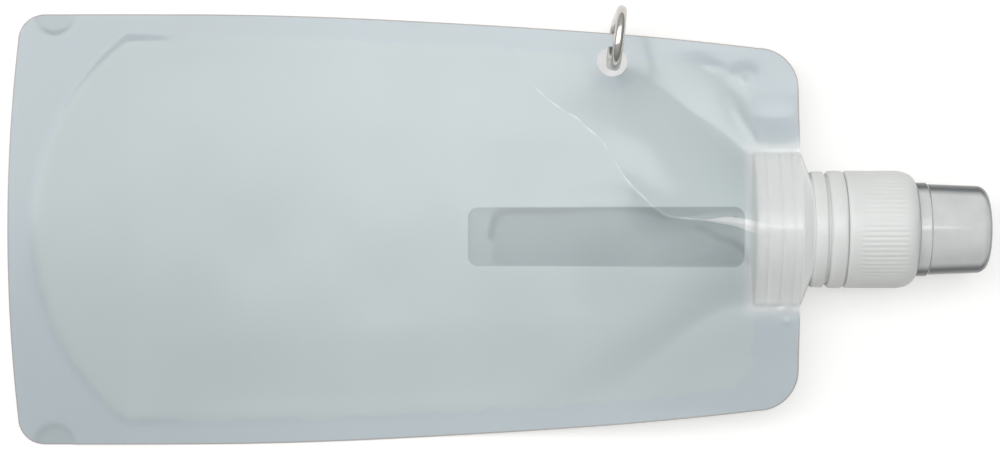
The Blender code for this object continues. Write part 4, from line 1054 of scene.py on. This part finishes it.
def combined(target, tools):
    # the target's mesh after each tool is joined on or cut out, with nothing of the tools left
    for tool, operation in tools:
        step = target.modifiers.new(tool.name, "BOOLEAN")
        step.object, step.operation, step.solver = tool, operation, "EXACT"
    ready = target.evaluated_get(bpy.context.evaluated_depsgraph_get())
    mesh = bpy.data.meshes.new_from_object(ready)
    for old in [target] + [tool for tool, operation in tools]:
        bpy.data.objects.remove(old, do_unlink=True)
    return mesh


def makeClip():
    c = clip
    axis, up = Vector(joints["carabiner_swing"]["axis"]), Vector((0.0, 0.0, 1.0))
    place = Matrix((up.cross(axis), up, axis)).transposed().to_4x4()
    place = place @ Matrix.Rotation(-radians(c["lean"]), 4, "Z")
    place.translation = joints["carabiner_swing"]["pos_m"]
    along = Vector(joints["plunger_push"]["axis"])
    gate = Matrix((along.cross(axis), along, axis)).transposed().to_4x4()
    gate.translation = joints["gate_open"]["pos_m"]

    def inGate(side, high, out=0.0):
        return gate @ Vector((c["offset"] + side, high, out))

    def across(outline):
        # from (along the gate, across it) to the gate's plane
        return [(v + c["offset"], u) for u, v in outline]

    def box(low, high, left, right):
        return across([(low, left), (high, left), (high, right), (low, right)])

    def disc(centre, side, radius):
        return across(circle((centre, side), radius, 24))

    rod, wide = c["rod"], 2 * c["rod"]
    spine = c["strip"] + c["spineGap"] + rod
    top = c["length"] - wide - c["under"]
    narrowX, wideX = spine - c["narrow"] + wide, spine - c["wide"] + wide
    toPlane, stops = place.inverted() @ gate, (-c["reach"] - c["hingeGap"], c["gateLength"] + c["seat"])
    ends = [(toPlane @ Vector((c["offset"], high, 0.0))).to_2d() for high in stops]
    corners = [ends[0], (narrowX, -c["under"]), (spine, -c["under"]), (spine, top), (wideX, top), ends[1]]
    radii = (0.0, c["narrowCorner"], c["narrowCorner"], c["wideCorner"], c["wideCorner"], 0.0)
    rounded = [(*corner, radius) for corner, radius in zip(corners, radii)]
    path = filleted(rounded, closed=False, steps=16, share=1.0)
    depth, heel = rod - c["seat"] / 2, c["pin"] + c["hingeGap"]
    nose = c["gateLength"] - 2 * c["pin"] - c["seat"]
    notch = c["pin"] + c["seat"]
    lip = nose - notch - c["tongue"] / 2
    past = c["gateLength"] + 2 * c["hingeGap"]
    hook = across([(past, -depth), (past, depth), (nose + notch, depth), (nose + notch, -notch),
        (nose - notch, -notch), (nose - notch, depth), (lip, depth), (lip, -depth)])
    hole = c["pin"] + c["pinClearance"]
    tongue = box(-c["reach"] - 2 * c["hingeGap"], heel, -depth, depth)
    body = combined(rodMesh("clip_rod", path, rod, c["round"], place), [
        (prismMesh("tongue", tongue, c["tongue"] / 2, gate), "UNION"),
        (prismMesh("tongue_hole", disc(0.0, -c["offset"], hole), c["tongue"], gate), "DIFFERENCE"),
        (prismMesh("nose", hook, c["tongue"] / 2, gate), "UNION")])
    dressMesh("clip_frame", body, steel, "carabiner", 38, "carabiner_body")

    slotHalf = c["tongue"] / 2 + c["seat"]
    heelEnd = hypot(heel, rod + c["offset"]) + c["seat"] / 2
    slotTop = nose - c["pin"] - 2 * c["seat"] - c["tongue"]
    bar = [(c["offset"], -c["reach"]), (c["offset"], c["gateLength"])]
    bore = [(c["offset"], 0.0), (c["offset"], heelEnd + c["boreLength"])]
    tools = [
        (prismMesh("low_slot", box(-wide, heelEnd, -wide, wide), slotHalf, gate), "DIFFERENCE"),
        (prismMesh("high_slot", box(slotTop, past + wide, -wide, wide), slotHalf, gate), "DIFFERENCE"),
        (rodMesh("gate_bore", bore, c["bore"], 0.0001, gate), "DIFFERENCE"),
        (prismMesh("low_hole", disc(0.0, -c["offset"], hole), wide, gate), "DIFFERENCE"),
        (prismMesh("high_hole", disc(nose, 0.0, hole), wide, gate), "DIFFERENCE")]
    barMesh = combined(rodMesh("gate_rod", bar, rod, c["round"], gate), tools)
    dressMesh("clip_gate", barMesh, steel, "gate", 38, "carabiner_gate")

    reach = rod - c["pinClearance"]
    domed = [(-reach, 0.5), (-reach + 0.00008, 0.85), (-reach + 0.0002, 1.0)]
    domed += [(-z, share) for z, share in reversed(domed)]
    for name, at, side in (("gate_hinge_pin", 0.0, -c["offset"]), ("gate_nose_pin", nose, 0.0)):
        bm = sweptTube([(inGate(side, at, out), c["pin"] * share) for out, share in domed], 20)
        addPiece(name.replace("gate_", "rivet_"), bm, steel, "gate", 60, name)

    start = heel + c["seat"]
    far = start + c["plungerLength"]
    stops = [(start, 0.0003), (start + 0.00015, 0.00052), (start + 0.0004, c["plunger"]),
        (far - 0.0001, c["plunger"]), (far, c["plunger"] - 0.0001)]
    bm = sweptTube([(inGate(0.0, at), radius) for at, radius in stops], 24)
    addPiece("plunger_bar", bm, steel, "plunger", 60, "gate_plunger")

    low, high = far + c["seat"], heelEnd + c["boreLength"] - c["seat"]
    wire = c["springWire"] / 2
    reach, steps = c["plunger"] - wire, c["turnSteps"] * c["springTurns"]
    rise = high - low - 2 * wire
    turns = [(2 * pi * i / c["turnSteps"], low + wire + rise * i / steps) for i in range(steps + 1)]
    bm = sweptTube([(inGate(reach * cos(a), at, reach * sin(a)), wire) for a, at in turns], 8)
    coil = addPiece("spring_coil", bm, steel, "gate", 60, "gate_spring")
    # the plunger presses the coil against the bore's end
    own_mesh(coil)


makeSpout()
makeThread()
makeBand()
makeCap()
makeNozzle()
makeCover()
makeLiner()
makeClip()
print("closure and clip made")


# Floor, light and camera

floorLook = {"colour": "#c9c8c5", "roughness": 0.9, "glow": 0.52, "half": 6.0, "drop": 0.0002}


def makeStage():
    # matt paper, which glows only where it is seen
    look = floorLook
    made, tree = startMaterial("pale_floor")
    seen = addNode(tree, "LightPath").outputs
    shown = seen["Is Camera Ray"]
    for kind in ("Is Glossy Ray", "Is Transmission Ray"):
        shown = addNode(tree, "Math", {"operation": "MAXIMUM"}, {0: shown, 1: seen[kind]})
    glow = addNode(tree, "Math", {"operation": "MULTIPLY", 1: look["glow"]}, {0: shown})
    endMaterial(made, {"Base Color": look["colour"], "Roughness": look["roughness"],
        "Specular IOR Level": 0.0, "Emission Color": "#ffffff"}, {"Emission Strength": glow})
    bm = bmesh.new()
    bmesh.ops.create_grid(bm, x_segments=1, y_segments=1, size=look["half"])
    floor = placed("floor", meshOf("floor", bm), (0.0, 0.0, -look["drop"]))
    floor.data.materials.append(made)


# Lamps: place, size and radiance. The long box overhead is what the film mirrors.
lamps = {
    "strip": {"at": (-0.64, 0.242, 1.0), "size": (2.12, 0.516), "radiance": 2.62},
    "spot": {"at": (0.265, 0.09, 1.0), "size": (0.36, 0.03), "radiance": 16.0},
}
sky = {"towards": (-0.20, 0.38, 0.90), "low": 0.26, "high": 0.68}


def makeLamps():
    for name, lamp in lamps.items():
        data = bpy.data.lights.new(name, "AREA")
        data.shape = "RECTANGLE"
        data.size, data.size_y = lamp["size"]
        data.energy = lamp["radiance"] * pi * data.size * data.size_y
        placed(name, data, lamp["at"])


def makeWorld():
    world = bpy.data.worlds.new("room")
    bpy.context.scene.world = world
    world.use_nodes = True
    tree = world.node_tree
    way = addNode(tree, "TexCoord").outputs["Generated"]
    towards = Vector(sky["towards"]).normalized()
    share = addNode(tree, "VectorMath", {"operation": "DOT_PRODUCT", 1: towards}, {0: way})
    level = addNode(tree, "MapRange", {"To Min": sky["low"], "To Max": sky["high"]}, {"Value": share})
    seen = addNode(tree, "LightPath").outputs["Is Camera Ray"]
    shown = addNode(tree, "Mix", {"data_type": "FLOAT", "B": 1.0}, {"Factor": seen, "A": level})
    setNode(tree, tree.nodes["Background"], {"Color": "#ffffff"}, {"Strength": shown})


# The camera stands over the bottle. A pixel of the picture is 0.279 mm on the floor.
cameraAt = {"place": (0.00238, 0.00134, 0.700), "pixel": 0.00027923, "pixelsWide": 1000, "sensor": 36.0}


def makeCamera():
    data = bpy.data.cameras.new("camera")
    data.sensor_width = cameraAt["sensor"]
    width = cameraAt["pixel"] * cameraAt["pixelsWide"]
    data.lens = cameraAt["sensor"] * cameraAt["place"][2] / width
    data.clip_start = 0.01
    bpy.context.scene.camera = placed("camera", data, cameraAt["place"])


makeStage()
makeLamps()
makeWorld()
makeCamera()
bpy.context.scene.view_settings.view_transform = "Standard"
bpy.context.scene.cycles.transparent_max_bounces = 24  # many thin see-through films lie over each other
